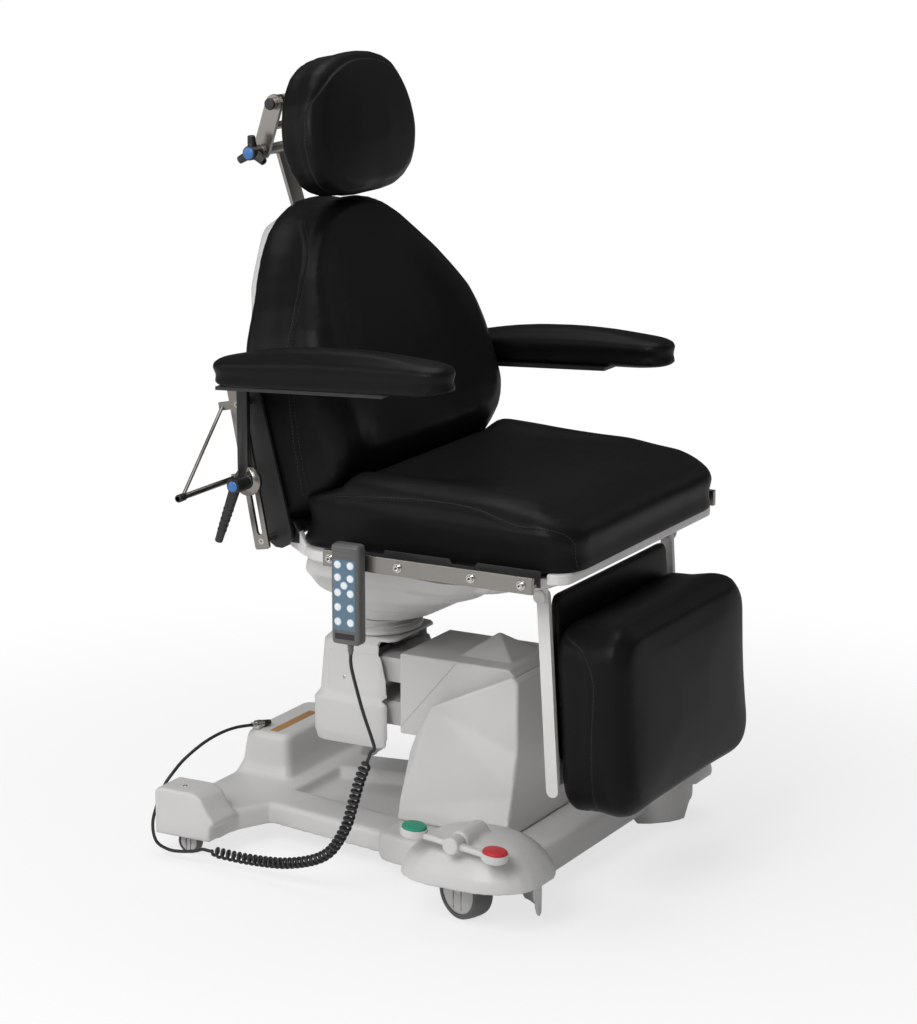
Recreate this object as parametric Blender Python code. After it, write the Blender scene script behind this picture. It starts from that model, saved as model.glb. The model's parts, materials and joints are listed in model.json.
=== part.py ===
"""Procedure chair on four casters, with a lifting arm and a tilting seat.

It has a back, a leg section, two armrests and a headrest.

Metres, +Z up. The chair faces -Y and stands on Z = 0, with the origin on the floor under the middle of its plan,
the cord left out. The patient's right side is at -X. Pieces are modelled in place, and each moving body hangs on
an empty that stands on its joint's axis. The finished chair is then set back by its stance.
"""

import math

import bmesh
import bpy
import numpy as np
from mathutils import Matrix, Vector

# How far the finished chair is set back, so that its middle stands over the origin
STANCE = 0.01524

# Fits
TOUCH = 0.0003
RUN = 0.0015
BORE_FIT = 0.0004

# Base cover: a low deck, a thicker front block, two rear feet and an off-centre hump
BASE_BOTTOM = 0.042
DECK_TOP = 0.081
FRONT_TOP = 0.094
BASE_EDGE = 0.009
BASE_FRONT = -0.282
BASE_REAR = 0.443
FRONT_CORNER = (0.235, -0.282)
FLANK_FRONT = (0.262, -0.100)
FLANK_REAR = (0.238, 0.010)
STEP_REAR = (0.222, 0.024)
DECK_FRONT = (0.206, 0.031)
WAIST = (0.165, 0.283)
FOOT_INNER = (0.226, 0.314)
FOOT_OUTER = 0.308
FOOT_FRONT = 0.322
FOOT_REAR = 0.437
FOOT_TOP = 0.128
FOOT_EDGE = 0.006
WELL_FRONT = (0.106, 0.059)
WELL_REAR = (0.066, 0.278)
WELL_SLOPE = 0.012
WELL_FLOOR = 0.060
DOME_CENTRE = (0.315, -0.225)
DOME_HALF = (0.105, 0.131)
DOME_RIM = 0.088
DOME_TOP = 0.163
DOME_SQUARENESS = 2.6
SKIRT_INNER = 0.104
SKIRT_OUTER = 0.112
SKIRT_LOW = 0.016
SKIRT_HIGH = 0.100
SKIRT_SHOULDER = 0.058
SKIRT_ANGLES = (8.0, 88.0)
SKIRT_SLOPE = 14.0
HUMP_RIGHT = -0.047
HUMP_LEFT = 0.205
HUMP_FRONT = 0.318
HUMP_LEAN = 0.017
HUMP_TOP = 0.160
HUMP_EDGE = 0.007
HUMP_CORNER = 0.016
CHASSIS_HALF = 0.140
CHASSIS_FRONT = -0.250
CHASSIS_REAR = 0.280
CHASSIS_BOTTOM = 0.046
CHASSIS_THICK = 0.008
CONTROL_BOX_RIGHT = -0.010
CONTROL_BOX_LEFT = 0.160
CONTROL_BOX_FRONT = 0.352
CONTROL_BOX_REAR = 0.400
CONTROL_BOX_BOTTOM = 0.050
CONTROL_BOX_TOP = 0.145
INLET_X = 0.060
INLET_HALF = 0.025
INLET_BOTTOM = 0.047
INLET_TOP = 0.074
INLET_DEPTH = 0.022
INLET_STANDOUT = 0.002
INLET_WALL = 0.007
CUT_OVERRUN = 0.020

# Casters
FRONT_CASTER = (0.318, -0.222)
REAR_CASTER = (0.266, 0.378)
FRONT_WHEEL_RADIUS = 0.050
FRONT_WHEEL_WIDTH = 0.042
FRONT_TRAIL = 0.025
FRONT_POCKET_RADIUS = 0.085
FRONT_POCKET_ROOF = 0.126
FRONT_ARM_WIDTH = 0.012
FRONT_SWIVEL_REST = math.radians(-20.0)
REAR_WHEEL_RADIUS = 0.0225
REAR_WHEEL_WIDTH = 0.018
REAR_TRAIL = 0.011
REAR_POCKET_RADIUS = 0.0385
REAR_POCKET_ROOF = 0.066
REAR_ARM_WIDTH = 0.005
AXLE_RADIUS = 0.006

# Brake pedal on the right front dome
PEDAL_X = -0.405
PEDAL_HUB_Y = -0.228
PEDAL_HUB_Z = 0.165
PEDAL_HUB_RADIUS = 0.015
PEDAL_HUB_LENGTH = 0.030
PEDAL_REACH = 0.077
PEDAL_RISE = math.radians(7.0)
PEDAL_BAR = (0.016, 0.010)
PAD_RADIUS = 0.023
PAD_THICK = 0.008
BOSS_RADIUS = 0.018

# Tower, mast and lift arms
TOWER_HALF = 0.121
TOWER_WALL = 0.012
TOWER_FLARE = 0.050
TOWER_TOE = 0.010
TOWER_EDGE = 0.012
TOWER_FLARE_TOP = 0.235
TOWER_FRONT = -0.196
TOWER_TOP = 0.372
TOWER_BACK_FOOT = 0.018
TOWER_SHOULDER = (-0.024, 0.296)
TOWER_NECK = (0.0165, 0.210)
MAST_PLATE = 0.010
MAST_FOOT = 0.045
ARM_HALF = 0.071
ARM_LENGTH = 0.270
ARM_RADIUS = 0.022
MAST_Y = -0.130
UPPER_PIVOT_Z = 0.335
PIVOT_SPACING = 0.080
ARM_PIN = 0.009
ARM_COVER_HALF = 0.0905
ARM_COVER_WALL = 0.005
ARM_COVER_FRONT = -0.180
ARM_COVER_REAR = 0.056
ARM_COVER_TOP = 0.374
ARM_COVER_NOSE = 0.030
ARM_COVER_LOW = 0.226
PYRAMID_Y = -0.096
PYRAMID_HALF = 0.058
PYRAMID_RISE = 0.036

# Carrier
CARRIER_HALF = 0.102
CARRIER_WALL = 0.006
CARRIER_FRONT = 0.074
CARRIER_REAR = 0.236
CARRIER_LOW = 0.192
CARRIER_LEDGE = 0.272
CARRIER_STEP = 0.008
CARRIER_SLOPE = 0.012
CARRIER_TOP = 0.392
MOUTH_DEPTH = 0.030
POST_HALF = 0.030
POST_DEPTH = 0.050
BRIDGE_THICK = 0.0095
TILT_Y = 0.130
TILT_Z = 0.447
TILT_PIN = 0.010
TILT_PIN_HALF = 0.055

# Seat
PAN_HALF = 0.310
PAN_FRONT = -0.340
PAN_REAR = 0.140
PAN_TOP = 0.605
PAN_RIM = 0.020
PAN_CORNER = 0.060
TUB_BOTTOM = 0.548
TUB_HALF = 0.262
TUB_FRONT = -0.245
TUB_REAR = 0.134
FUNNEL_RADIUS = 0.085
FUNNEL_BOTTOM = 0.425
FUNNEL_TOP_HALF = 0.222
FUNNEL_TOP_FRONT = -0.190
FUNNEL_WALL = 0.005
FRAME_HALF = 0.110
FRAME_FRONT = -0.100
FRAME_REAR = 0.098
FRAME_THICK = 0.020
LUG_THICK = 0.014
SEAT_HALF = 0.302
SEAT_FRONT = -0.392
SEAT_REAR = 0.066
SEAT_THICK = 0.102
SEAT_REAR_RAKE = 0.64
RAIL_OUTER = 0.358
RAIL_THICK = 0.0095
RAIL_HEIGHT = 0.0286
RAIL_FRONT = -0.346
RAIL_LENGTH = 0.396
RAIL_Z = 0.610
RAIL_SPACERS = (-0.325, -0.230, -0.090, 0.036)
RAIL_STAND = 0.009

# Back
BACK_ANGLE = math.radians(18.0)
BACK_FOOT = (0.050, 0.718)
BACK_HEIGHT = 0.474
BACK_SHAPE = (
    (0.0, 0.290),
    (0.169, 0.298),
    (0.380, 0.298),
    (0.570, 0.278),
    (0.781, 0.222),
    (0.939, 0.140),
    (1.0, 0.050),
)
BACK_THICK = 0.108
BACK_BOLSTER = 0.032
BACK_TAPER = 0.09
BACK_BOTTOM_RAKE = 0.50
BACK_PIVOT = (0.164, 0.627)
PIVOT_TUBE = 0.014
SIDE_PLATE_X = 0.306
SIDE_PLATE = 0.006
SIDE_PLATE_TOP = (0.216, 0.856)
SPINE_HALF = 0.160
SPINE_TOP = 0.360
SPINE_THICK = 0.006
SHELL_BOTTOM = 0.190
SHELL_HALF = 0.205
SHELL_HEIGHT = 0.280
SHELL_DEPTH = 0.048

# Armrests
BAR_FOOT = (0.176, 0.621)
BAR_HEAD = (0.221, 0.853)
BAR_X = 0.345
BAR_THICK = 0.006
BAR_WIDTH = 0.028
BAR_OVERRUN = 0.040
SLOT_WIDTH = 0.010
ARM_TRAVEL = 0.090
STAND_RADIUS = 0.0065
WASHER_RADIUS = 0.0085
WASHER_THICK = 0.006
LEFT_DROP = 0.088
HUB_REST = 0.106
HUB_RADIUS = 0.025
HUB_THICK = 0.010
STRUT_WIDTH = 0.020
PAD_INNER = 0.353
PAD_WIDTH = 0.088
PAD_FRONT = -0.225
PAD_REAR = 0.229
PAD_BOTTOM = 0.899
PAD_HEIGHT = 0.052
PAD_TILT = math.radians(3.0)
PAD_PLATE = 0.006
LEVER_LENGTH = 0.092
LEVER_SWEEP = 0.052
LEVER_SOCKET = 0.044
BRACE_Y = 0.0305
BRACE_REACH = 0.524
BRACE_ROD = 0.005
BRACE_STAY = 0.003
BRACE_LOW = 0.112

# Headrest
HEAD_ANGLE = math.radians(9.0)
HEAD_FOOT = (0.140, 1.180)
HEAD_HEIGHT = 0.243
HEAD_HALF = 0.172
HEAD_THICK = 0.085
HEAD_BAR_HALF = 0.020
HEAD_BAR_BOTTOM = 0.220
HEAD_BAR_TOP = 0.590
HEAD_TUBE = 0.010
HEAD_TUBE_HALF = 0.080
HEAD_PLATE = (0.058, 0.045, 0.005)
HEAD_LINK_X = 0.0625
HEAD_LINK_THICK = 0.008
HEAD_UPPER = (0.317, 1.327)
KNOB_HUB = 0.013
KNOB_REACH = 0.030
KNOB_LENGTH = 0.030

# Leg section
LEG_PIVOT = (-0.306, 0.563)
LEG_ANGLE = math.radians(3.5)
STRIP_OUTER = 0.2435
STRIP_THICK = 0.010
STRIP_HALF = 0.011
STRIP_LENGTH = 0.350
LEG_PIN = 0.006
LEG_BRACKET = 0.006
LEG_PLATE_TOP = -0.070
LEG_PLATE_THICK = 0.008
LEG_PAD_HALF = 0.215
LEG_PAD_LENGTH = 0.296
LEG_PAD_THICK = 0.0145
LEG_CUSHION_HALF = 0.243
LEG_CUSHION_TOP = -0.052
LEG_CUSHION_HEIGHT = 0.336
LEG_CUSHION_THICK = 0.142

# Hand control
HANDSET_Y = -0.009
HANDSET_WIDTH = 0.054
HANDSET_THICK = 0.028
HANDSET_BOTTOM = 0.472
HANDSET_TOP = 0.645
HOOK_WIDTH = 0.036
HOOK_THICK = 0.004
KEYPAD_THICK = 0.0012
KEYPAD_MARGIN = 0.006
RELIEF_RADIUS = 0.0055
RELIEF_LENGTH = 0.018
CORD_RADIUS = 0.003
CORD_STRAIGHT = 0.012
COIL_RADIUS = 0.0105
COIL_TURNS = 42
CURL_POINTS = 8
SOCKET_RADIUS = 0.0075
SOCKET_LENGTH = 0.026
SOCKET_FOOT = (0.006, 0.007)

CORD_LEAD = (
    (-0.372, -0.0120, 0.4537),
    (-0.372, -0.0120, 0.4380),
    (-0.373, -0.0170, 0.4170),
    (-0.374, -0.0350, 0.3600),
    (-0.373, -0.0540, 0.3080),
    (-0.372, -0.0565, 0.2940),
)
CORD_COIL = (
    (-0.3712, -0.0448, 0.2757),
    (-0.368, -0.026, 0.235),
    (-0.364, -0.010, 0.190),
    (-0.358, 0.012, 0.134),
    (-0.350, 0.056, 0.079),
    (-0.336, 0.136, 0.046),
    (-0.324, 0.228, 0.033),
    (-0.323, 0.315, 0.034),
)
CORD_TAIL = (
    (-0.3235, 0.341, 0.029),
    (-0.3220, 0.370, 0.0225),
    (-0.3180, 0.402, 0.0195),
    (-0.3040, 0.438, 0.025),
    (-0.2760, 0.464, 0.046),
    (-0.2470, 0.472, 0.075),
    (-0.2260, 0.470, 0.103),
    (-0.2090, 0.464, 0.121),
    (-0.1820, 0.457, 0.140),
    (-0.1380, 0.446, 0.159),
    (-0.0950, 0.437, 0.168),
    (-0.0580, 0.426, 0.171),
    (-0.0240, 0.412, 0.169),
)

SHELL_GREY = ("shell_grey", (0.56, 0.55, 0.53), 0.45, 0.0)
BLACK_VINYL = ("black_vinyl", (0.012, 0.012, 0.013), 0.42, 0.0)
STEEL = ("steel", (0.55, 0.53, 0.50), 0.30, 1.0)
DARK_STEEL = ("dark_steel", (0.16, 0.16, 0.16), 0.45, 1.0)
BLACK_PLASTIC = ("black_plastic", (0.015, 0.015, 0.016), 0.40, 0.0)
TYRE_GREY = ("tyre_grey", (0.30, 0.30, 0.31), 0.55, 0.0)
WHITE_PAINT = ("white_paint", (0.72, 0.71, 0.69), 0.40, 0.0)
GREEN = ("green_pad", (0.02, 0.30, 0.18), 0.50, 0.0)
RED = ("red_pad", (0.62, 0.04, 0.05), 0.50, 0.0)
KEY_BLUE = ("key_blue", (0.10, 0.22, 0.36), 0.35, 0.0)


def clear_scene():
    """Removes whatever the scene holds."""
    for obj in list(bpy.data.objects):
        bpy.data.objects.remove(obj)


def material_for(finish):
    """Returns the Principled material of a finish, made on first use."""
    name, colour, roughness, metallic = finish
    found = bpy.data.materials.get(name)
    if found:
        return found
    made = bpy.data.materials.new(name)
    made.use_nodes = True
    shader = made.node_tree.nodes["Principled BSDF"]
    shader.inputs["Base Color"].default_value = (*colour, 1.0)
    shader.inputs["Roughness"].default_value = roughness
    shader.inputs["Metallic"].default_value = metallic
    return made


def make_object(mesh_builder, place=None):
    """Turns a bmesh into a linked object with its faces outward."""
    bmesh.ops.recalc_face_normals(mesh_builder, faces=mesh_builder.faces)
    mesh = bpy.data.meshes.new("shape")
    mesh_builder.to_mesh(mesh)
    mesh_builder.free()
    obj = bpy.data.objects.new("shape", mesh)
    bpy.context.scene.collection.objects.link(obj)
    if place:
        obj.matrix_world = place
    return obj


def block(low, high, round_edge=0.0, place=None):
    """A cuboid between two corners, with its edges rounded by round_edge."""
    low = Vector(low)
    high = Vector(high)
    shape = bmesh.new()
    bmesh.ops.create_cube(shape, size=1.0)
    bmesh.ops.scale(shape, vec=high - low, verts=shape.verts)
    bmesh.ops.translate(shape, vec=(low + high) / 2, verts=shape.verts)
    if round_edge:
        bmesh.ops.bevel(
            shape,
            geom=list(shape.edges),
            offset=round_edge,
            segments=2,
            affect="EDGES",
            profile=0.5,
        )
    return make_object(shape, place)


def loft(rings, place=None, closed=False):
    """Skins rings of equal length. The ends are capped, or joined to each other where closed is set."""
    shape = bmesh.new()
    rows = [[shape.verts.new(point) for point in ring] for ring in rings]
    pairs = list(zip(rows, rows[1:]))
    if closed:
        pairs.append((rows[-1], rows[0]))
    for below, above in pairs:
        for i in range(len(below)):
            j = (i + 1) % len(below)
            shape.faces.new((below[i], below[j], above[j], above[i]))
    if not closed:
        shape.faces.new(rows[0])
        shape.faces.new(rows[-1])
    return make_object(shape, place)


def prism(outline, start, end, axis="X", round_edge=0.0, place=None):
    """Extrudes an outline along X, Y or Z. The outline's pairs are the other two axes in order."""
    build = {
        "X": lambda a, b, along: (along, a, b),
        "Y": lambda a, b, along: (a, along, b),
        "Z": lambda a, b, along: (a, b, along),
    }[axis]
    shape = bmesh.new()
    lower = [shape.verts.new(build(a, b, start)) for a, b in outline]
    upper = [shape.verts.new(build(a, b, end)) for a, b in outline]
    ends = [shape.faces.new(lower), shape.faces.new(upper)]
    for i in range(len(outline)):
        j = (i + 1) % len(outline)
        shape.faces.new((lower[i], lower[j], upper[j], upper[i]))
    if round_edge:
        rims = {edge for face in ends for edge in face.edges}
        bmesh.ops.bevel(
            shape,
            geom=list(rims),
            offset=round_edge,
            segments=2,
            affect="EDGES",
            profile=0.5,
        )
    return make_object(shape, place)


def rod(start, end, radius, sides=14, end_radius=None, place=None):
    """A round bar, or a cone where end_radius differs, between two points."""
    start = Vector(start)
    end = Vector(end)
    along = end - start
    turn = along.to_track_quat("Z", "Y").to_matrix().to_4x4()
    shape = bmesh.new()
    bmesh.ops.create_cone(
        shape,
        cap_ends=True,
        segments=sides,
        radius1=radius,
        radius2=radius if end_radius is None else end_radius,
        depth=along.length,
    )
    bmesh.ops.transform(shape, matrix=Matrix.Translation((start + end) / 2) @ turn, verts=shape.verts)
    return make_object(shape, place)


def turned(profile, steps=32, place=None):
    """Turns a closed profile of (radius, height) pairs about Z."""
    rings = []
    for i in range(steps):
        angle = 2 * math.pi * i / steps
        rings.append([(r * math.cos(angle), r * math.sin(angle), z) for r, z in profile])
    return loft(rings, place, closed=True)


def combine(obj, others, operation):
    """Joins or cuts obj with each of the others, which are used up."""
    for other in others:
        step = obj.modifiers.new("combine", "BOOLEAN")
        step.operation = operation
        step.solver = "EXACT"
        step.object = other
        bpy.context.view_layer.update()
        graph = bpy.context.evaluated_depsgraph_get()
        mesh = bpy.data.meshes.new_from_object(obj.evaluated_get(graph))
        obj.modifiers.clear()
        obj.data = mesh
        bpy.data.objects.remove(other)
    return obj


def fuse(first, *others):
    """Joins overlapping shapes into one body."""
    return combine(first, others, "UNION")


def cut(obj, *cutters):
    """Removes the cutters from obj."""
    return combine(obj, cutters, "DIFFERENCE")


def node(name, obj, finish, body):
    """Names a finished piece, gives it its own material and hangs it on its body's empty."""
    obj.name = name
    obj.data.name = name
    obj.data.materials.clear()
    own = material_for(finish).copy()
    own.name = name
    obj.data.materials.append(own)
    obj.data.shade_smooth()
    obj.data.set_sharp_from_angle(angle=math.radians(35.0))
    bpy.context.view_layer.update()
    world = obj.matrix_world.copy()
    obj.parent = body
    obj.matrix_parent_inverse = body.matrix_world.inverted()
    obj.matrix_world = world
    return obj


def joint_empty(name, point, parent=None):
    """An empty on a joint's axis, carried by the parent body's empty."""
    empty = bpy.data.objects.new("body_" + name, None)
    bpy.context.scene.collection.objects.link(empty)
    empty.empty_display_size = 0.03
    empty.location = point
    bpy.context.view_layer.update()
    if parent:
        empty.parent = parent
        empty.matrix_parent_inverse = parent.matrix_world.inverted()
        bpy.context.view_layer.update()
    return empty


def mirrored(pairs):
    """A right half outline, listed from the front mid-plane to the rear one, with its mirror image."""
    return [(-a, b) for a, b in pairs] + [(a, b) for a, b in reversed(pairs) if a > 0]


def arc(centre, radius, start, end, steps):
    """Points on an arc, in degrees, both ends included."""
    angles = [math.radians(start + (end - start) * i / steps) for i in range(steps + 1)]
    return [(centre[0] + radius * math.cos(t), centre[1] + radius * math.sin(t)) for t in angles]


def rounded_rectangle(left, right, low, high, radius, steps=3):
    """An outline with four round corners, counter-clockwise."""
    corners = (
        ((right - radius, low + radius), -90.0),
        ((right - radius, high - radius), 0.0),
        ((left + radius, high - radius), 90.0),
        ((left + radius, low + radius), 180.0),
    )
    return [p for centre, start in corners for p in arc(centre, radius, start, start + 90.0, steps)]


def strap(start, end, start_radius, end_radius, steps=6):
    """A flat link's outline: two round ends and straight sides."""
    heading = math.degrees(math.atan2(end[1] - start[1], end[0] - start[0]))
    tail = arc(start, start_radius, heading + 90.0, heading + 270.0, steps)
    return tail + arc(end, end_radius, heading - 90.0, heading + 90.0, steps)


def spline(points, per_span, closed=False):
    """Points on a smooth curve through the given ones."""
    points = [np.array(p, float) for p in points]
    if closed:
        ring = [points[-1], *points, points[0], points[1]]
    else:
        ring = [2 * points[0] - points[1], *points, 2 * points[-1] - points[-2]]
    out = []
    for before, a, b, after in zip(ring, ring[1:], ring[2:], ring[3:]):
        for i in range(per_span):
            t = i / per_span
            out.append(
                0.5
                * (
                    2 * a
                    + (b - before) * t
                    + (2 * before - 5 * a + 4 * b - after) * t * t
                    + (3 * a - before - 3 * b + after) * t**3
                )
            )
    if not closed:
        out.append(points[-1])
    return out


def leaning(foot, angle):
    """The frame of a leaning panel: X across, Y up the panel, Z out of its front."""
    up = Vector((0, math.sin(angle), math.cos(angle)))
    out = Vector((0, -math.cos(angle), math.sin(angle)))
    across = Vector((1, 0, 0))
    turn = Matrix((across, up, out)).transposed().to_4x4()
    return Matrix.Translation((0, *foot)) @ turn


def cushion(outline, back, front, place=None, shift=None, rings=(0.90, 0.78, 0.64, 0.46, 0.24)):
    """An upholstered pad, its sides drawn in between two welts, its front following front(a, b, share)."""
    points = [np.array(p, float) for p in outline]
    low = np.min(points, axis=0)
    high = np.max(points, axis=0)
    centre = (low + high) / 2
    half = (high - low) / 2
    sides = ((0.012, 0.0), (0.002, 0.10), (0.006, 0.42), (0.001, 0.70), (0.004, 0.86), (0.016, 0.97))
    layers = []
    for inset, rise in sides:
        share = 1 - inset / half
        ring = []
        for p in points:
            a, b = centre + (p - centre) * share
            ring.append((a, b, back + rise * (front(a, b, 1.0) - back)))
        layers.append(ring)
    for share in rings:
        ring = []
        for p in points:
            a, b = centre + (p - centre) * share
            ring.append((a, b, front(a, b, share)))
        layers.append(ring)
    if shift:
        layers = [[shift(*p) for p in ring] for ring in layers]
    return loft(layers, place)


def hill(x, centre, width):
    """A smooth bump of height 1."""
    return math.exp(-(((x - centre) / width) ** 2))


def fade(x, start, end):
    """Runs smoothly from 0 at start to 1 at end."""
    t = min(max((x - start) / (end - start), 0.0), 1.0)
    return t * t * (3 - 2 * t)


def tube(name, points, radius, resolution, body, finish):
    """A cord: a curve with a round bevel and filled caps."""
    curve = bpy.data.curves.new(name, "CURVE")
    curve.dimensions = "3D"
    curve.bevel_depth = radius
    curve.bevel_resolution = resolution
    curve.use_fill_caps = True
    line = curve.splines.new("POLY")
    line.points.add(len(points) - 1)
    for slot, point in zip(line.points, points):
        slot.co = (*point, 1.0)
    obj = bpy.data.objects.new(name, curve)
    bpy.context.scene.collection.objects.link(obj)
    own = material_for(finish).copy()
    own.name = name
    curve.materials.append(own)
    obj.parent = body
    obj.matrix_parent_inverse = body.matrix_world.inverted()
    return obj


def deck_outline():
    """The left half of the deck's plan, front to rear."""
    return [
        (0.0, BASE_FRONT),
        FRONT_CORNER,
        FLANK_FRONT,
        FLANK_REAR,
        STEP_REAR,
        DECK_FRONT,
        WAIST,
        FOOT_INNER,
        (FOOT_OUTER, FOOT_FRONT),
        (FOOT_OUTER, FOOT_REAR),
        (FOOT_INNER[0], BASE_REAR),
        (0.0, BASE_REAR),
    ]


def slab(half_outline, top):
    """A flat moulded plate from the base's underside, with its top rim rounded."""
    plate = prism(mirrored(half_outline), BASE_BOTTOM, top, "Z")
    shape = bmesh.new()
    shape.from_mesh(plate.data)
    top_rim = [e for e in shape.edges if all(abs(v.co.z - top) < 1e-6 for v in e.verts)]
    bmesh.ops.bevel(shape, geom=top_rim, offset=BASE_EDGE, segments=2, affect="EDGES", profile=0.5)
    shape.to_mesh(plate.data)
    shape.free()
    return plate


def rear_foot(side):
    """The block over a rear caster, its front falling to the deck in a curve."""
    low = DECK_TOP - BASE_EDGE
    rise = FOOT_TOP - low
    outline = [
        (FOOT_FRONT - 0.014, low),
        (FOOT_FRONT + 0.004, low + rise * 0.40),
        (FOOT_FRONT + 0.018, low + rise * 0.82),
        (FOOT_FRONT + 0.034, FOOT_TOP),
        (FOOT_REAR - FOOT_EDGE, FOOT_TOP),
        (FOOT_REAR, FOOT_TOP - FOOT_EDGE),
        (FOOT_REAR, low),
    ]
    return prism(outline, side * (FOOT_INNER[0] + 0.006), side * (FOOT_OUTER - 0.0005))


def dome(side):
    """The rounded cover over a front caster."""
    sections = ((0.0, 1.0), (0.28, 0.95), (0.49, 0.86), (0.72, 0.72), (0.88, 0.55), (1.0, 0.25))
    steps = 24
    bend = 2 / DOME_SQUARENESS
    rings = []
    for rise, share in sections:
        height = DOME_RIM + (DOME_TOP - DOME_RIM) * rise
        ring = []
        for i in range(steps):
            t = 2 * math.pi * i / steps
            x = math.copysign(abs(math.cos(t)) ** bend, math.cos(t)) * DOME_HALF[0] * share
            y = math.copysign(abs(math.sin(t)) ** bend, math.sin(t)) * DOME_HALF[1] * share
            ring.append((side * DOME_CENTRE[0] + x, DOME_CENTRE[1] + y, height))
        rings.append(ring)
    return loft(rings)


def skirt(side):
    """The thin wall that hangs from a dome in front of its caster, on the inner side."""

    def ring(height, narrow):
        steps = 6
        first = math.radians(SKIRT_ANGLES[0] + narrow)
        last = math.radians(SKIRT_ANGLES[1] - narrow)
        angles = [first + (last - first) * i / steps for i in range(steps + 1)]
        points = []
        for radius, order in ((SKIRT_OUTER, angles), (SKIRT_INNER, angles[::-1])):
            for t in order:
                x = side * (FRONT_CASTER[0] - radius * math.cos(t))
                points.append((x, FRONT_CASTER[1] - radius * math.sin(t), height))
        return points

    return loft([ring(SKIRT_LOW, SKIRT_SLOPE), ring(SKIRT_SHOULDER, 0.0), ring(SKIRT_HIGH, 0.0)])


def hump():
    """The raised rear part of the cover, over the control box."""
    sections = (
        (DECK_TOP - BASE_EDGE, -0.002),
        (DECK_TOP + 0.006, 0.004),
        (DECK_TOP + 0.022, HUMP_LEAN * 0.65),
        (HUMP_TOP - HUMP_EDGE, HUMP_LEAN),
        (HUMP_TOP, HUMP_LEAN + HUMP_EDGE),
    )
    rings = []
    for height, inset in sections:
        plan = rounded_rectangle(
            HUMP_RIGHT + inset,
            HUMP_LEFT - inset,
            HUMP_FRONT + inset * 0.8,
            BASE_REAR - 0.002 - inset,
            HUMP_CORNER,
        )
        rings.append([(x, y, height) for x, y in plan])
    return loft(rings)


def front_pocket(side):
    """The hollow in which a front caster swivels."""
    radius = FRONT_POCKET_RADIUS
    roof = FRONT_POCKET_ROOF
    span = roof - DOME_RIM
    sections = (
        (0.0, radius),
        (DOME_RIM, radius),
        (DOME_RIM + span * 0.60, radius * 0.92),
        (roof, radius * 0.70),
    )
    steps = 24
    angles = [2 * math.pi * i / steps for i in range(steps)]
    centre = (side * FRONT_CASTER[0], FRONT_CASTER[1])
    rings = []
    for height, r in sections:
        rings.append([(centre[0] + r * math.cos(t), centre[1] + r * math.sin(t), height) for t in angles])
    return loft(rings)


def well():
    """The shallow basin in the deck behind the tower."""
    rings = []
    for height, grow in ((WELL_FLOOR, 0.0), (DECK_TOP + CUT_OVERRUN, WELL_SLOPE * 2)):
        front_half = WELL_FRONT[0] + grow
        rear_half = WELL_REAR[0] + grow
        front = WELL_FRONT[1] - grow / 2
        rear = WELL_REAR[1] + grow / 2
        plan = ((-front_half, front), (front_half, front), (rear_half, rear), (-rear_half, rear))
        rings.append([(x, y, height) for x, y in plan])
    return loft(rings)


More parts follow.
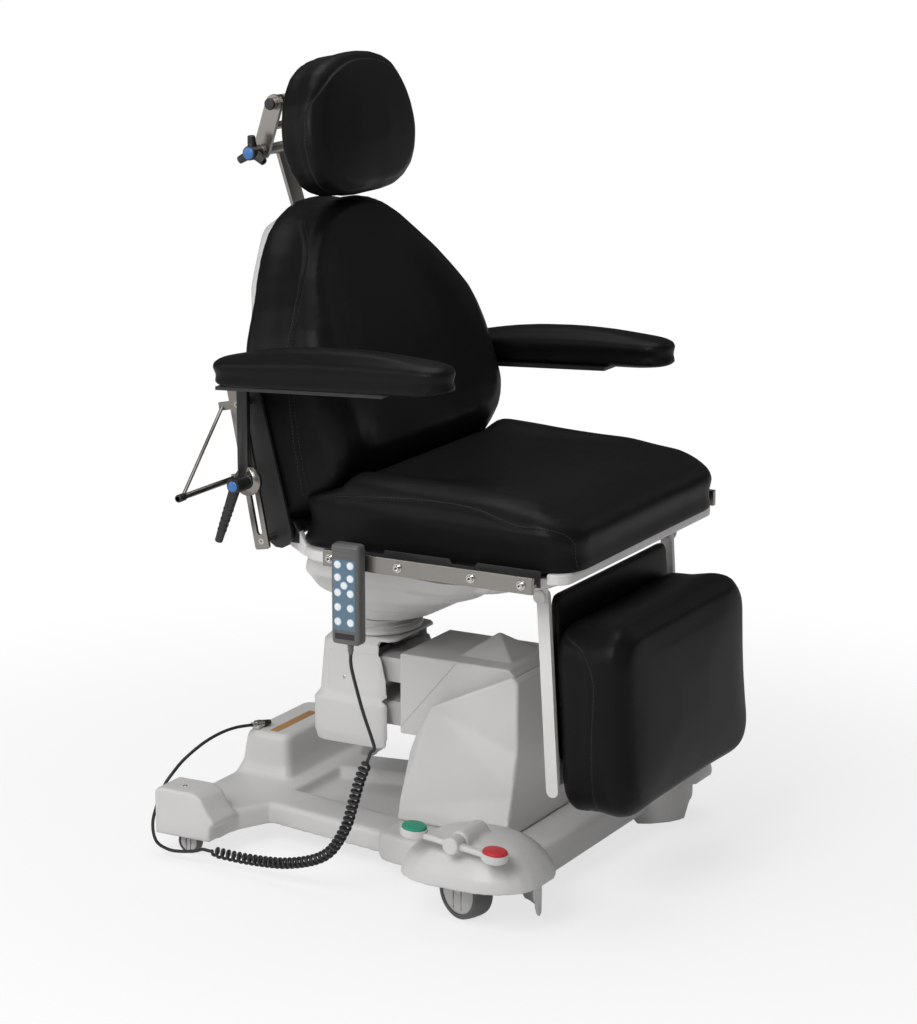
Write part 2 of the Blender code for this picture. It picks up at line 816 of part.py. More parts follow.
def base(body):
    """The moulded cover with what stays on it."""
    cover = slab(deck_outline(), DECK_TOP)
    front_block = slab(deck_outline()[:5] + [(0.0, STEP_REAR[1])], FRONT_TOP)
    boss_end = PEDAL_X + PEDAL_HUB_LENGTH / 2 + TOUCH
    boss_start = (-DOME_CENTRE[0], PEDAL_HUB_Y, PEDAL_HUB_Z)
    boss = rod(boss_start, (boss_end, PEDAL_HUB_Y, PEDAL_HUB_Z), BOSS_RADIUS)
    fuse(cover, front_block, hump(), boss)
    for side in (-1, 1):
        fuse(cover, rear_foot(side), dome(side), skirt(side))
    below = BASE_BOTTOM - CUT_OVERRUN
    plate_pocket = block(
        (-CHASSIS_HALF - TOUCH, CHASSIS_FRONT - TOUCH, below),
        (CHASSIS_HALF + TOUCH, CHASSIS_REAR + TOUCH, CHASSIS_BOTTOM + CHASSIS_THICK + TOUCH),
    )
    box_pocket = block(
        (CONTROL_BOX_RIGHT - TOUCH, CONTROL_BOX_FRONT - TOUCH, below),
        (CONTROL_BOX_LEFT + TOUCH, CONTROL_BOX_REAR + TOUCH, CONTROL_BOX_TOP + TOUCH),
    )
    inlet_pocket = block(
        (INLET_X - INLET_HALF - TOUCH, BASE_REAR - INLET_DEPTH - TOUCH, INLET_BOTTOM - TOUCH),
        (INLET_X + INLET_HALF + TOUCH, BASE_REAR + CUT_OVERRUN, INLET_TOP + TOUCH),
    )
    cut(cover, well(), plate_pocket, box_pocket, inlet_pocket)
    for side in (-1, 1):
        x, y = side * REAR_CASTER[0], REAR_CASTER[1]
        rear_pocket = rod((x, y, 0.0), (x, y, REAR_POCKET_ROOF), REAR_POCKET_RADIUS, 24)
        cut(cover, front_pocket(side), rear_pocket)
    node("base_cover", cover, SHELL_GREY, body)

    chassis = block(
        (-CHASSIS_HALF, CHASSIS_FRONT, CHASSIS_BOTTOM),
        (CHASSIS_HALF, CHASSIS_REAR, CHASSIS_BOTTOM + CHASSIS_THICK),
    )
    node("chassis", chassis, DARK_STEEL, body)
    control = block(
        (CONTROL_BOX_RIGHT, CONTROL_BOX_FRONT, CONTROL_BOX_BOTTOM),
        (CONTROL_BOX_LEFT, CONTROL_BOX_REAR, CONTROL_BOX_TOP),
    )
    node("control_box", control, BLACK_PLASTIC, body)
    inlet = block(
        (INLET_X - INLET_HALF, BASE_REAR - INLET_DEPTH, INLET_BOTTOM),
        (INLET_X + INLET_HALF, BASE_REAR + INLET_STANDOUT, INLET_TOP),
    )
    mouth = block(
        (
            INLET_X - INLET_HALF + INLET_WALL,
            BASE_REAR - INLET_DEPTH + INLET_WALL,
            INLET_BOTTOM + INLET_WALL,
        ),
        (INLET_X + INLET_HALF - INLET_WALL, BASE_REAR + CUT_OVERRUN, INLET_TOP - INLET_WALL),
    )
    node("mains_inlet", cut(inlet, mouth), BLACK_PLASTIC, body)
    start = Vector(CORD_TAIL[-1])
    heading = (start - Vector(CORD_TAIL[-2])).normalized()
    socket = rod(start + heading * TOUCH, start + heading * SOCKET_LENGTH, SOCKET_RADIUS, 16)
    middle = start + heading * SOCKET_LENGTH / 2
    half_length, half_width = SOCKET_FOOT
    foot = block(
        (middle.x - half_length, middle.y - half_width, HUMP_TOP + TOUCH),
        (middle.x + half_length, middle.y + half_width, start.z),
    )
    node("cord_socket", fuse(socket, foot), STEEL, body)


def tower(body):
    """The front cover around the mast, open at its top and rear, and the mast with its four pin ends."""
    low = FRONT_TOP + TOUCH

    def half_width(z):
        return TOWER_HALF + TOWER_FLARE * (1 - fade(z, low, TOWER_FLARE_TOP))

    waist = (low + TOWER_FLARE_TOP) / 2
    profile = [
        (TOWER_FRONT - TOWER_TOE, low),
        (TOWER_FRONT - TOWER_TOE * 0.6, low + 0.022),
        (TOWER_FRONT - TOWER_TOE * 0.3, waist),
        (TOWER_FRONT, TOWER_FLARE_TOP),
        (TOWER_FRONT, TOWER_TOP - TOWER_EDGE),
        (TOWER_FRONT + TOWER_EDGE, TOWER_TOP),
        TOWER_SHOULDER,
        (TOWER_NECK[0] - 0.0145, (TOWER_NECK[1] + TOWER_SHOULDER[1]) / 2),
        TOWER_NECK,
        (TOWER_BACK_FOOT - 0.001, waist),
        (TOWER_BACK_FOOT - 0.001, low + 0.022),
        (TOWER_BACK_FOOT, low),
    ]
    rings = [[(side * half_width(z), y, z) for y, z in profile] for side in (-1, 1)]
    cover = loft(rings)
    inner = TOWER_HALF - TOWER_WALL
    hollow = block(
        (-inner, TOWER_FRONT + TOWER_WALL, 0.0),
        (inner, TOWER_BACK_FOOT + CUT_OVERRUN, TOWER_TOP + CUT_OVERRUN),
    )
    node("tower_cover", cut(cover, hollow), SHELL_GREY, body)

    plate_in = ARM_HALF + RUN
    plate_out = plate_in + MAST_PLATE
    foot = block((-plate_out, MAST_Y - MAST_FOOT, low), (plate_out, MAST_Y + MAST_FOOT, low + MAST_PLATE))
    cheeks = []
    for side in (-1, 1):
        outline = strap((MAST_Y, low + ARM_PIN), (MAST_Y, UPPER_PIVOT_Z), ARM_RADIUS - 0.003, ARM_RADIUS)
        outline = [(y, max(z, low)) for y, z in outline]
        cheeks.append(prism(outline, side * plate_in, side * plate_out))
    reach = plate_in + MAST_PLATE / 2
    pins = []
    for z in (UPPER_PIVOT_Z, UPPER_PIVOT_Z - PIVOT_SPACING):
        pins.append(rod((-reach, MAST_Y, z), (reach, MAST_Y, z), ARM_PIN))
    node("mast", fuse(foot, *cheeks, *pins), DARK_STEEL, body)


def brake(body):
    """The pedal bar with its hub on the dome's boss, and its two pads."""
    hub = rod(
        (PEDAL_X + PEDAL_HUB_LENGTH / 2, PEDAL_HUB_Y, PEDAL_HUB_Z),
        (PEDAL_X - PEDAL_HUB_LENGTH / 2, PEDAL_HUB_Y, PEDAL_HUB_Z),
        PEDAL_HUB_RADIUS,
    )
    place = Matrix.Translation((PEDAL_X, PEDAL_HUB_Y, PEDAL_HUB_Z)) @ Matrix.Rotation(PEDAL_RISE, 4, "X")
    width, thick = PEDAL_BAR
    bar = block((-width / 2, -PEDAL_REACH, -thick / 2), (width / 2, PEDAL_REACH, thick / 2), place=place)
    seats = []
    for side in (-1, 1):
        at = side * PEDAL_REACH
        seats.append(rod((0, at, -thick / 2), (0, at, thick / 2), PAD_RADIUS, 24, place=place))
    node("brake_pedal", fuse(hub, bar, *seats), SHELL_GREY, body)
    for name, side, finish in (("brake_pad_red", -1, RED), ("brake_pad_green", 1, GREEN)):
        low = thick / 2 + TOUCH
        pad = rod(
            (0, side * PEDAL_REACH, low),
            (0, side * PEDAL_REACH, low + PAD_THICK),
            PAD_RADIUS,
            24,
            PAD_RADIUS - 0.002,
            place=place,
        )
        node(name, pad, finish, body)


def caster(name, x, y, side, radius, width, trail, roof, arm_width, rest, base_body):
    """A one-armed fork that swivels under the base, and its wheel. The arm is on the inner side."""
    swivel = joint_empty("swivel_" + name, (x, y, roof), base_body)
    place = Matrix.Translation((x, y, 0)) @ Matrix.Rotation(rest, 4, "Z")
    inner = -side
    arm_near = width / 2 + RUN
    arm_far = arm_near + arm_width
    crown_low = 2 * radius + 0.004
    crown_high = crown_low + 0.006
    eye = radius * 0.45
    crown_x = sorted((-inner * radius * 0.2, inner * arm_far))
    crown_front = -radius * 0.25
    crown_rear = trail + radius * 0.3
    crown = block((crown_x[0], crown_front, crown_low), (crown_x[1], crown_rear, crown_high), place=place)
    stem = rod((0, 0, crown_low + 0.001), (0, 0, roof - TOUCH), radius * 0.19, place=place)
    outline = [(crown_front, crown_high)]
    outline += arc((trail, radius), eye, 180.0, 360.0, 12)
    outline += [(crown_rear, crown_high)]
    arm = prism(outline, inner * arm_near, inner * arm_far, place=place)
    axle_end = -inner * (width / 2 - 0.002)
    axle_start = inner * (arm_near + arm_width / 2)
    axle = rod((axle_start, trail, radius), (axle_end, trail, radius), AXLE_RADIUS, place=place)
    node("caster_fork_" + name, fuse(crown, stem, arm, axle), WHITE_PAINT, swivel)

    centre = place @ Vector((0, trail, radius))
    spin = joint_empty("wheel_" + name, centre, swivel)
    bore = AXLE_RADIUS + BORE_FIT
    half = width / 2
    profile = [
        (bore, -half + 0.002),
        (radius * 0.70, -half + 0.002),
        (radius * 0.78, -half),
        (radius * 0.92, -half + 0.001),
        (radius * 0.99, -half * 0.55),
        (radius, 0.0),
        (radius * 0.99, half * 0.55),
        (radius * 0.92, half - 0.001),
        (radius * 0.78, half),
        (radius * 0.70, half - 0.002),
        (bore, half - 0.002),
    ]
    turn = Matrix.Rotation(rest, 4, "Z") @ Matrix.Rotation(math.pi / 2, 4, "Y")
    upright = Matrix.Translation(centre) @ turn
    steps = 24 if radius > REAR_WHEEL_RADIUS else 14
    node("caster_wheel_" + name, turned(profile, steps, upright), TYRE_GREY, spin)


def lift(base_body):
    """Two parallel arms, the cover on the upper one, and the carrier that they hold level.

    Returns the carrier's empty.
    """
    lower_z = UPPER_PIVOT_Z - PIVOT_SPACING
    carrier_y = MAST_Y + ARM_LENGTH
    upper = joint_empty("upper_arm", (0, MAST_Y, UPPER_PIVOT_Z), base_body)
    lower = joint_empty("lower_arm", (0, MAST_Y, lower_z), base_body)
    carrier = joint_empty("carrier", (0, carrier_y, UPPER_PIVOT_Z), upper)
    for name, z, body in (("upper_arm", UPPER_PIVOT_Z, upper), ("lower_arm", lower_z, lower)):
        arm = prism(strap((MAST_Y, z), (carrier_y, z), ARM_RADIUS, ARM_RADIUS), -ARM_HALF, ARM_HALF)
        bores = []
        for y in (MAST_Y, carrier_y):
            bores.append(rod((-ARM_HALF - 0.01, y, z), (ARM_HALF + 0.01, y, z), ARM_PIN + BORE_FIT))
        node(name, cut(arm, *bores), DARK_STEEL, body)

    side_outline = [
        (ARM_COVER_FRONT, ARM_COVER_TOP - ARM_COVER_NOSE),
        (ARM_COVER_FRONT + 0.006, ARM_COVER_TOP - ARM_COVER_NOSE * 0.4),
        (ARM_COVER_FRONT + 0.018, ARM_COVER_TOP),
        (ARM_COVER_REAR, ARM_COVER_TOP),
        (ARM_COVER_REAR, ARM_COVER_LOW),
        (ARM_COVER_REAR - 0.048, ARM_COVER_LOW),
        (MAST_Y + 0.060, UPPER_PIVOT_Z - 0.035),
    ]
    cover = prism(side_outline, -ARM_COVER_HALF, ARM_COVER_HALF)
    inner = ARM_COVER_HALF - ARM_COVER_WALL
    roof_low = UPPER_PIVOT_Z + ARM_RADIUS + TOUCH
    hollow = block((-inner, ARM_COVER_FRONT - 0.05, 0.1), (inner, ARM_COVER_REAR + 0.05, roof_low))
    tip = (0.0, PYRAMID_Y, ARM_COVER_TOP + PYRAMID_RISE)
    low = ARM_COVER_TOP - 0.004
    front = PYRAMID_Y - PYRAMID_HALF
    rear = PYRAMID_Y + PYRAMID_HALF
    square = rounded_rectangle(-PYRAMID_HALF, PYRAMID_HALF, front, rear, 0.003, 1)
    point = [(tip[0] + 0.05 * x, tip[1] + 0.05 * (y - tip[1]), tip[2]) for x, y in square]
    pyramid = loft([[(x, y, low) for x, y in square], point])
    node("arm_cover", fuse(cut(cover, hollow), pyramid), SHELL_GREY, upper)

    def shell_ring(grow, z):
        half = CARRIER_HALF - CARRIER_STEP + grow
        rear = CARRIER_REAR - CARRIER_STEP + grow
        return [(x, y, z) for x, y in rounded_rectangle(-half, half, CARRIER_FRONT, rear, 0.022)]

    def carrier_shell(wall, low, high):
        return loft(
            [
                shell_ring(CARRIER_STEP - wall - 0.004, low),
                shell_ring(CARRIER_STEP - wall, low + 0.020),
                shell_ring(CARRIER_STEP - wall, CARRIER_LEDGE),
                shell_ring(-wall, CARRIER_LEDGE + CARRIER_SLOPE),
                shell_ring(-wall - 0.006, high - 0.014),
                shell_ring(-wall - 0.018, high),
            ]
        )

    cover = carrier_shell(0.0, CARRIER_LOW, CARRIER_TOP)
    hollow = carrier_shell(CARRIER_WALL, CARRIER_LOW - 0.02, CARRIER_TOP - CARRIER_WALL)
    wide = ARM_COVER_HALF + RUN
    narrow = CARRIER_HALF - CARRIER_STEP - CARRIER_WALL - RUN
    mouth_rear = CARRIER_FRONT + MOUTH_DEPTH
    mouth_front = CARRIER_FRONT - CUT_OVERRUN
    low_mouth = block((-wide, mouth_front, 0.1), (wide, mouth_rear, CARRIER_LEDGE + CARRIER_SLOPE))
    mouth = block((-narrow, mouth_front, 0.1), (narrow, mouth_rear, CARRIER_TOP - CARRIER_WALL))
    post_hole = block(
        (-POST_HALF - TOUCH, TILT_Y - POST_DEPTH / 2 - TOUCH, CARRIER_TOP - 0.05),
        (POST_HALF + TOUCH, TILT_Y + POST_DEPTH / 2 + TOUCH, CARRIER_TOP + 0.05),
    )
    node("carrier_cover", cut(cover, hollow, low_mouth, mouth, post_hole), SHELL_GREY, carrier)

    plate_in = ARM_HALF + RUN
    plate_out = plate_in + MAST_PLATE - RUN
    bridge_top = CARRIER_TOP - CARRIER_WALL - 0.015
    bridge = block(
        (-plate_out, TILT_Y - 0.020, bridge_top - BRIDGE_THICK),
        (plate_out, carrier_y + ARM_RADIUS, bridge_top),
    )
    cheeks = []
    for side in (-1, 1):
        outline = strap((carrier_y, lower_z), (carrier_y, bridge_top - 0.022), 0.019, 0.022)
        cheeks.append(prism(outline, side * plate_in, side * plate_out))
    reach = plate_in + MAST_PLATE / 2
    pins = []
    for z in (UPPER_PIVOT_Z, lower_z):
        pins.append(rod((-reach, carrier_y, z), (reach, carrier_y, z), ARM_PIN))
    post = block(
        (-POST_HALF, TILT_Y - POST_DEPTH / 2, bridge_top - BRIDGE_THICK / 2),
        (POST_HALF, TILT_Y + POST_DEPTH / 2, TILT_Z + 0.018),
    )
    pin = rod((-TILT_PIN_HALF, TILT_Y, TILT_Z), (TILT_PIN_HALF, TILT_Y, TILT_Z), TILT_PIN)
    node("carrier_frame", fuse(bridge, *cheeks, *pins, post, pin), DARK_STEEL, carrier)
    return carrier


def seat_front_face(x, y, share):
    """The top of the seat cushion above its bottom: side bolsters, a dished middle and a falling front."""
    side = abs(x) / SEAT_HALF
    bolster = 0.018 * hill(side, 0.80, 0.22) * fade(y, SEAT_FRONT, SEAT_FRONT + 0.20)
    dish = 0.014 * hill(x, 0.0, 0.16) * hill(y, -0.08, 0.16)
    fall = 0.016 * (1 - fade(y, SEAT_FRONT, SEAT_FRONT + 0.11))
    return SEAT_THICK + bolster - dish - fall + 0.006 * (1 - share)


def seat(carrier):
    """The tilting seat with its frame, covers, cushion and rails. Returns its empty."""
    body = joint_empty("seat", (0, TILT_Y, TILT_Z), carrier)
    plate_top = TUB_BOTTOM - TOUCH
    plate = block((-FRAME_HALF, FRAME_FRONT, plate_top - FRAME_THICK), (FRAME_HALF, FRAME_REAR, plate_top))
    lugs = []
    for side in (-1, 1):
        near = POST_HALF + RUN
        outline = strap((TILT_Y, TILT_Z), (TILT_Y - 0.035, plate_top - 0.030), 0.020, 0.028)
        lugs.append(prism(outline, side * near, side * (near + LUG_THICK)))
    fuse(plate, *lugs)
    bore = rod((-0.2, TILT_Y, TILT_Z), (0.2, TILT_Y, TILT_Z), TILT_PIN + BORE_FIT)
    node("seat_frame", cut(plate, bore), DARK_STEEL, body)

    steps = 28
    top_centre = (FUNNEL_TOP_FRONT + TILT_Y) / 2
    top_half = (FUNNEL_TOP_HALF, (TILT_Y - FUNNEL_TOP_FRONT) / 2)

    def funnel_ring(t, wall, z):
        ring = []
        for i in range(steps):
            angle = 2 * math.pi * i / steps
            c = math.cos(angle)
            s = math.sin(angle)
            round_x = (FUNNEL_RADIUS - wall) * c
            round_y = TILT_Y + (FUNNEL_RADIUS - wall) * s
            wide_x = (top_half[0] - wall) * math.copysign(abs(c) ** 0.7, c)
            wide_y = top_centre + (top_half[1] - wall) * math.copysign(abs(s) ** 0.7, s)
            ring.append((round_x + (wide_x - round_x) * t, round_y + (wide_y - round_y) * t, z))
        return ring

    rise = plate_top - FUNNEL_BOTTOM
    shares = (0.0, 0.25, 0.45, 0.75, 1.0)
    outer = [funnel_ring(t, 0.0, FUNNEL_BOTTOM + rise * t) for t in shares]
    inner = [funnel_ring(t, FUNNEL_WALL, FUNNEL_BOTTOM + rise * t) for t in reversed(shares)]
    node("seat_funnel", loft(outer + inner, closed=True), SHELL_GREY, body)

    rim_low = PAN_TOP - PAN_RIM

    def pan_ring(half, front, rear, z, radius=PAN_CORNER):
        return [(x, y, z) for x, y in rounded_rectangle(-half, half, front, rear, radius, 4)]

    pan = loft(
        [
            pan_ring(TUB_HALF - 0.02, TUB_FRONT + 0.02, TUB_REAR - 0.01, TUB_BOTTOM),
            pan_ring(TUB_HALF, TUB_FRONT, TUB_REAR, TUB_BOTTOM + 0.012),
            pan_ring(TUB_HALF + 0.01, TUB_FRONT - 0.015, TUB_REAR + 0.002, rim_low),
            pan_ring(PAN_HALF - 0.003, PAN_FRONT + 0.003, PAN_REAR - 0.001, rim_low),
            pan_ring(PAN_HALF, PAN_FRONT, PAN_REAR, rim_low + 0.003),
            pan_ring(PAN_HALF, PAN_FRONT, PAN_REAR, PAN_TOP),
        ]
    )
    extras = []
    for side in (-1, 1):
        near = STRIP_OUTER + RUN
        outline = strap(LEG_PIVOT, (LEG_PIVOT[0] + 0.004, PAN_TOP - 0.022), 0.014, 0.018)
        extras.append(prism(outline, side * near, side * (near + LEG_BRACKET)))
        pin_end = STRIP_OUTER - STRIP_THICK
        pin_start = side * (near + LEG_BRACKET / 2)
        extras.append(rod((pin_start, *LEG_PIVOT), (side * pin_end, *LEG_PIVOT), LEG_PIN))
        outline = strap((PAN_REAR - 0.012, rim_low + 0.008), BACK_PIVOT, 0.008, PIVOT_TUBE + 0.007)
        extras.append(prism(outline, side * (SIDE_PLATE_X - 0.036), side * (SIDE_PLATE_X - 0.020)))
    fuse(pan, *extras)
    bore = rod((-0.4, *BACK_PIVOT), (0.4, *BACK_PIVOT), PIVOT_TUBE + BORE_FIT)
    node("seat_pan", cut(pan, bore), SHELL_GREY, body)

    front_corners = rounded_rectangle(-SEAT_HALF, SEAT_HALF, SEAT_FRONT, SEAT_REAR, 0.065, 6)
    rear_corners = rounded_rectangle(-SEAT_HALF, SEAT_HALF, SEAT_FRONT, SEAT_REAR, 0.025, 6)
    outline = front_corners[:7] + rear_corners[7:21] + front_corners[21:]
    rear_start = SEAT_REAR - 0.10

    def rake(x, y, z):
        return (x, y + SEAT_REAR_RAKE * (SEAT_THICK - z) * fade(y, rear_start, SEAT_REAR), z)

    place = Matrix.Translation((0, 0, PAN_TOP + TOUCH))
    node("seat_cushion", cushion(outline, 0.0, seat_front_face, place, rake), BLACK_VINYL, body)

    for name, side in (("rail_right", -1), ("rail_left", 1)):
        inner = RAIL_OUTER - RAIL_THICK
        bar = block(
            (min(side * inner, side * RAIL_OUTER), RAIL_FRONT, RAIL_Z - RAIL_HEIGHT / 2),
            (max(side * inner, side * RAIL_OUTER), RAIL_FRONT + RAIL_LENGTH, RAIL_Z + RAIL_HEIGHT / 2),
            0.0012,
        )
        stands = []
        for y in RAIL_SPACERS:
            reach = sorted((side * (PAN_HALF + TOUCH), side * (inner + RAIL_THICK / 2)))
            low = (reach[0], y - RAIL_STAND, rim_low + 0.013)
            high = (reach[1], y + RAIL_STAND, PAN_TOP - 0.001)
            stands.append(block(low, high))
        node(name, fuse(bar, *stands), STEEL, body)
    return body


def back_half_width(w):
    """Half the back cushion's width at a height on it."""
    heights = [share * BACK_HEIGHT for share, _ in BACK_SHAPE]
    return float(np.interp(w, heights, [half for _, half in BACK_SHAPE]))


def back_front_face(x, w, share):
    """The front of the back cushion: a crown in the middle and a bolster along each side."""
    side = abs(x) / back_half_width(w)
    bolster = BACK_BOLSTER * hill(side, 0.80, 0.20) * (1 - fade(w, 0.22, 0.42)) * fade(w, -0.02, 0.10)
    edge = 0.030 * hill(w, 0.0, 0.022)
    return bolster + 0.004 * (1 - share) - edge


def back(seat_body):
    """The reclining back with its frame, shell and cushion. Returns its empty."""
    body = joint_empty("back", (0, *BACK_PIVOT), seat_body)
    place = leaning(BACK_FOOT, BACK_ANGLE)
    spine_front = -BACK_THICK - TOUCH
    spine_rear = spine_front - SPINE_THICK
    tube_half = SIDE_PLATE_X + SIDE_PLATE / 2
    tube_bar = rod((-tube_half, *BACK_PIVOT), (tube_half, *BACK_PIVOT), PIVOT_TUBE)
    spine = block((-SPINE_HALF, -0.030, spine_rear), (SPINE_HALF, SPINE_TOP, spine_front), place=place)
    extras = []
    for side in (-1, 1):
        outline = strap(BACK_PIVOT, SIDE_PLATE_TOP, 0.025, 0.018)
        extras.append(prism(outline, side * SIDE_PLATE_X, side * (SIDE_PLATE_X + SIDE_PLATE)))
        span = sorted((side * 0.10, side * 0.14))
        low = (span[0], -0.048, spine_rear - 0.020)
        high = (span[1], -0.004, spine_front - 0.001)
        extras.append(block(low, high, place=place))
    node("back_frame", fuse(tube_bar, spine, *extras), STEEL, body)

    half = [(0.0, 0.0), (0.150, 0.0), (0.262, 0.004), (0.290, 0.040), (0.298, 0.110), (0.297, 0.190)]
    half += [(0.278, 0.272), (0.222, 0.364), (0.146, 0.433), (0.070, 0.466), (0.0, BACK_HEIGHT)]
    outline = [tuple(p) for p in spline(mirrored(half), 2, closed=True)]

    def rake(x, w, n):
        narrow = 1 + BACK_TAPER * n / BACK_THICK
        return (x * narrow, w + BACK_BOTTOM_RAKE * n * (1 - fade(w, 0.0, 0.10)), n)

    pad = cushion(outline, -BACK_THICK, back_front_face, place, rake, (0.92, 0.82, 0.70, 0.55, 0.38, 0.18))
    node("back_cushion", pad, BLACK_VINYL, body)

    rear_place = leaning(BACK_FOOT, BACK_ANGLE) @ Matrix.Rotation(math.pi, 4, "Y")
    shell_back = -spine_rear + TOUCH
    top = SHELL_BOTTOM + SHELL_HEIGHT
    outline = rounded_rectangle(-SHELL_HALF, SHELL_HALF, SHELL_BOTTOM, top, 0.100, 6)
    levels = ((1.0, 0.0), (1.0, 0.30), (0.95, 0.62), (0.80, 0.90), (0.50, 1.0))
    centre = SHELL_BOTTOM + SHELL_HEIGHT / 2
    rings = []
    for share, rise in levels:
        ring = []
        for x, w in outline:
            narrow = 1 - 0.45 * fade(w, SHELL_BOTTOM + 0.10, SHELL_BOTTOM + SHELL_HEIGHT)
            ring.append((x * share * narrow, centre + (w - centre) * share, shell_back + SHELL_DEPTH * rise))
        rings.append(ring)
    shell = loft(rings, rear_place)
    groove_half = HEAD_BAR_HALF + TOUCH
    groove = block(
        (-groove_half, 0.0, shell_back - CUT_OVERRUN),
        (groove_half, 0.7, shell_back + SPINE_THICK + TOUCH),
        place=rear_place,
    )
    node("back_shell", cut(shell, groove), SHELL_GREY, body)
    return body


def armrest(side_name, side, drop, back_body):
    """A slotted bar on the back frame, its brace, and the sliding post with pad and clamp lever."""
    foot = Vector((0, *BAR_FOOT))
    head = Vector((0, *BAR_HEAD))
    lean = math.atan2(head.y - foot.y, head.z - foot.z)
    place = leaning(BAR_FOOT, lean)
    span = (head - foot).length
    near = side * BAR_X
    far = side * (BAR_X + BAR_THICK)
    half = BAR_WIDTH / 2
    outline = rounded_rectangle(-half, half, -half, span + BAR_OVERRUN, 0.004, 2)
    bar = prism([(w, -n) for n, w in outline], near, far, place=place)
    stands = []
    for w in (0.0, span):
        stand_start = side * (SIDE_PLATE_X + SIDE_PLATE + TOUCH)
        stand_end = side * (BAR_X + BAR_THICK / 2)
        stands.append(rod((stand_start, w, 0), (stand_end, w, 0), STAND_RADIUS, place=place))
    fuse(bar, *stands)
    slot_low = HUB_REST - ARM_TRAVEL
    slot_plan = strap((slot_low, 0.0), (HUB_REST, 0.0), SLOT_WIDTH / 2, SLOT_WIDTH / 2)
    slot = prism(slot_plan, near - side * CUT_OVERRUN, far + side * CUT_OVERRUN, place=place)
    node("arm_bar_" + side_name, cut(bar, slot), STEEL, back_body)

    rod_w = BRACE_LOW
    rear = -BRACE_Y
    middle = side * (BAR_X + BAR_THICK / 2)
    out = side * BRACE_REACH
    main = rod((middle, rod_w, rear), (out, rod_w, rear), BRACE_ROD, 12, place=place)
    stay = rod((middle, span, rear), (out - side * 0.014, rod_w, rear), BRACE_STAY, 10, place=place)
    feet = []
    for w in (rod_w, span):
        gap_edge = -half - TOUCH
        low_x = middle - BAR_THICK / 2
        low = (low_x, w - 0.007, rear - 0.006)
        high = (low_x + BAR_THICK, w + 0.007, gap_edge)
        feet.append(block(low, high, place=place))
    node("arm_brace_" + side_name, fuse(main, stay, *feet), STEEL, back_body)

    shift = Vector((0, math.sin(lean), math.cos(lean))) * -drop
    hub_point = place @ Vector((side * BAR_X, HUB_REST, 0)) + shift
    body = joint_empty("armrest_" + side_name, hub_point, back_body)
    hub_w = HUB_REST - drop
    out_near = side * (BAR_X + BAR_THICK + TOUCH)
    out_far = side * (BAR_X + BAR_THICK + TOUCH + HUB_THICK)
    disc = rod((out_near, hub_w, 0), (out_far, hub_w, 0), HUB_RADIUS, 28, place=place)
    stud_start = (side * (BAR_X - WASHER_THICK), hub_w, 0)
    stud = rod(stud_start, (out_far - side * 0.002, hub_w, 0), SLOT_WIDTH / 2 - BORE_FIT, 14, place=place)
    washer = rod((side * (BAR_X - TOUCH), hub_w, 0), stud_start, WASHER_RADIUS, 14, place=place)
    pad_low = PAD_BOTTOM + shift.z
    plate_low = pad_low - TOUCH - PAD_PLATE
    strut_x = sorted((out_near, out_far))
    strut = block(
        (strut_x[0], hub_point.y - 0.002, hub_point.z),
        (strut_x[1], hub_point.y - 0.002 + STRUT_WIDTH, plate_low + PAD_PLATE / 2),
    )
    plate_x = sorted((out_near, side * (PAD_INNER + PAD_WIDTH - 0.018)))
    tilt = Matrix.Translation((0, hub_point.y, pad_low)) @ Matrix.Rotation(-PAD_TILT, 4, "X")
    pad_place = tilt @ Matrix.Translation((0, -hub_point.y, 0))
    shelf = block(
        (plate_x[0], PAD_FRONT + shift.y + 0.12, -TOUCH - PAD_PLATE),
        (plate_x[1], hub_point.y + STRUT_WIDTH, -TOUCH),
        place=pad_place,
    )
    node("arm_post_" + side_name, fuse(disc, stud, washer, strut, shelf), STEEL, body)

    left = min(side * PAD_INNER, side * (PAD_INNER + PAD_WIDTH))
    outline = rounded_rectangle(left, left + PAD_WIDTH, PAD_FRONT + shift.y, PAD_REAR + shift.y, 0.040, 5)
    middle_y = (PAD_FRONT + PAD_REAR) / 2 + shift.y

    def top(x, y, share):
        return PAD_HEIGHT * (0.86 + 0.10 * (1 - share)) + 0.004 * hill(y, middle_y, 0.2)

    pad = cushion(outline, 0.0, top, pad_place, None, (0.48, 0.20))
    node("arm_pad_" + side_name, pad, BLACK_VINYL, body)

    lever_body = joint_empty("lever_" + side_name, hub_point, body)
    start = out_far + side * TOUCH
    end = start + side * LEVER_SOCKET
    socket = rod((start, hub_w, 0), (end, hub_w, 0), 0.013, 16, place=place)
    handle = rod(
        (end - side * 0.012, hub_w, 0),
        (end - side * 0.004, hub_w - LEVER_LENGTH, -LEVER_SWEEP),
        0.010,
        12,
        0.007,
        place=place,
    )
    node("clamp_lever_" + side_name, fuse(socket, handle), BLACK_PLASTIC, lever_body)


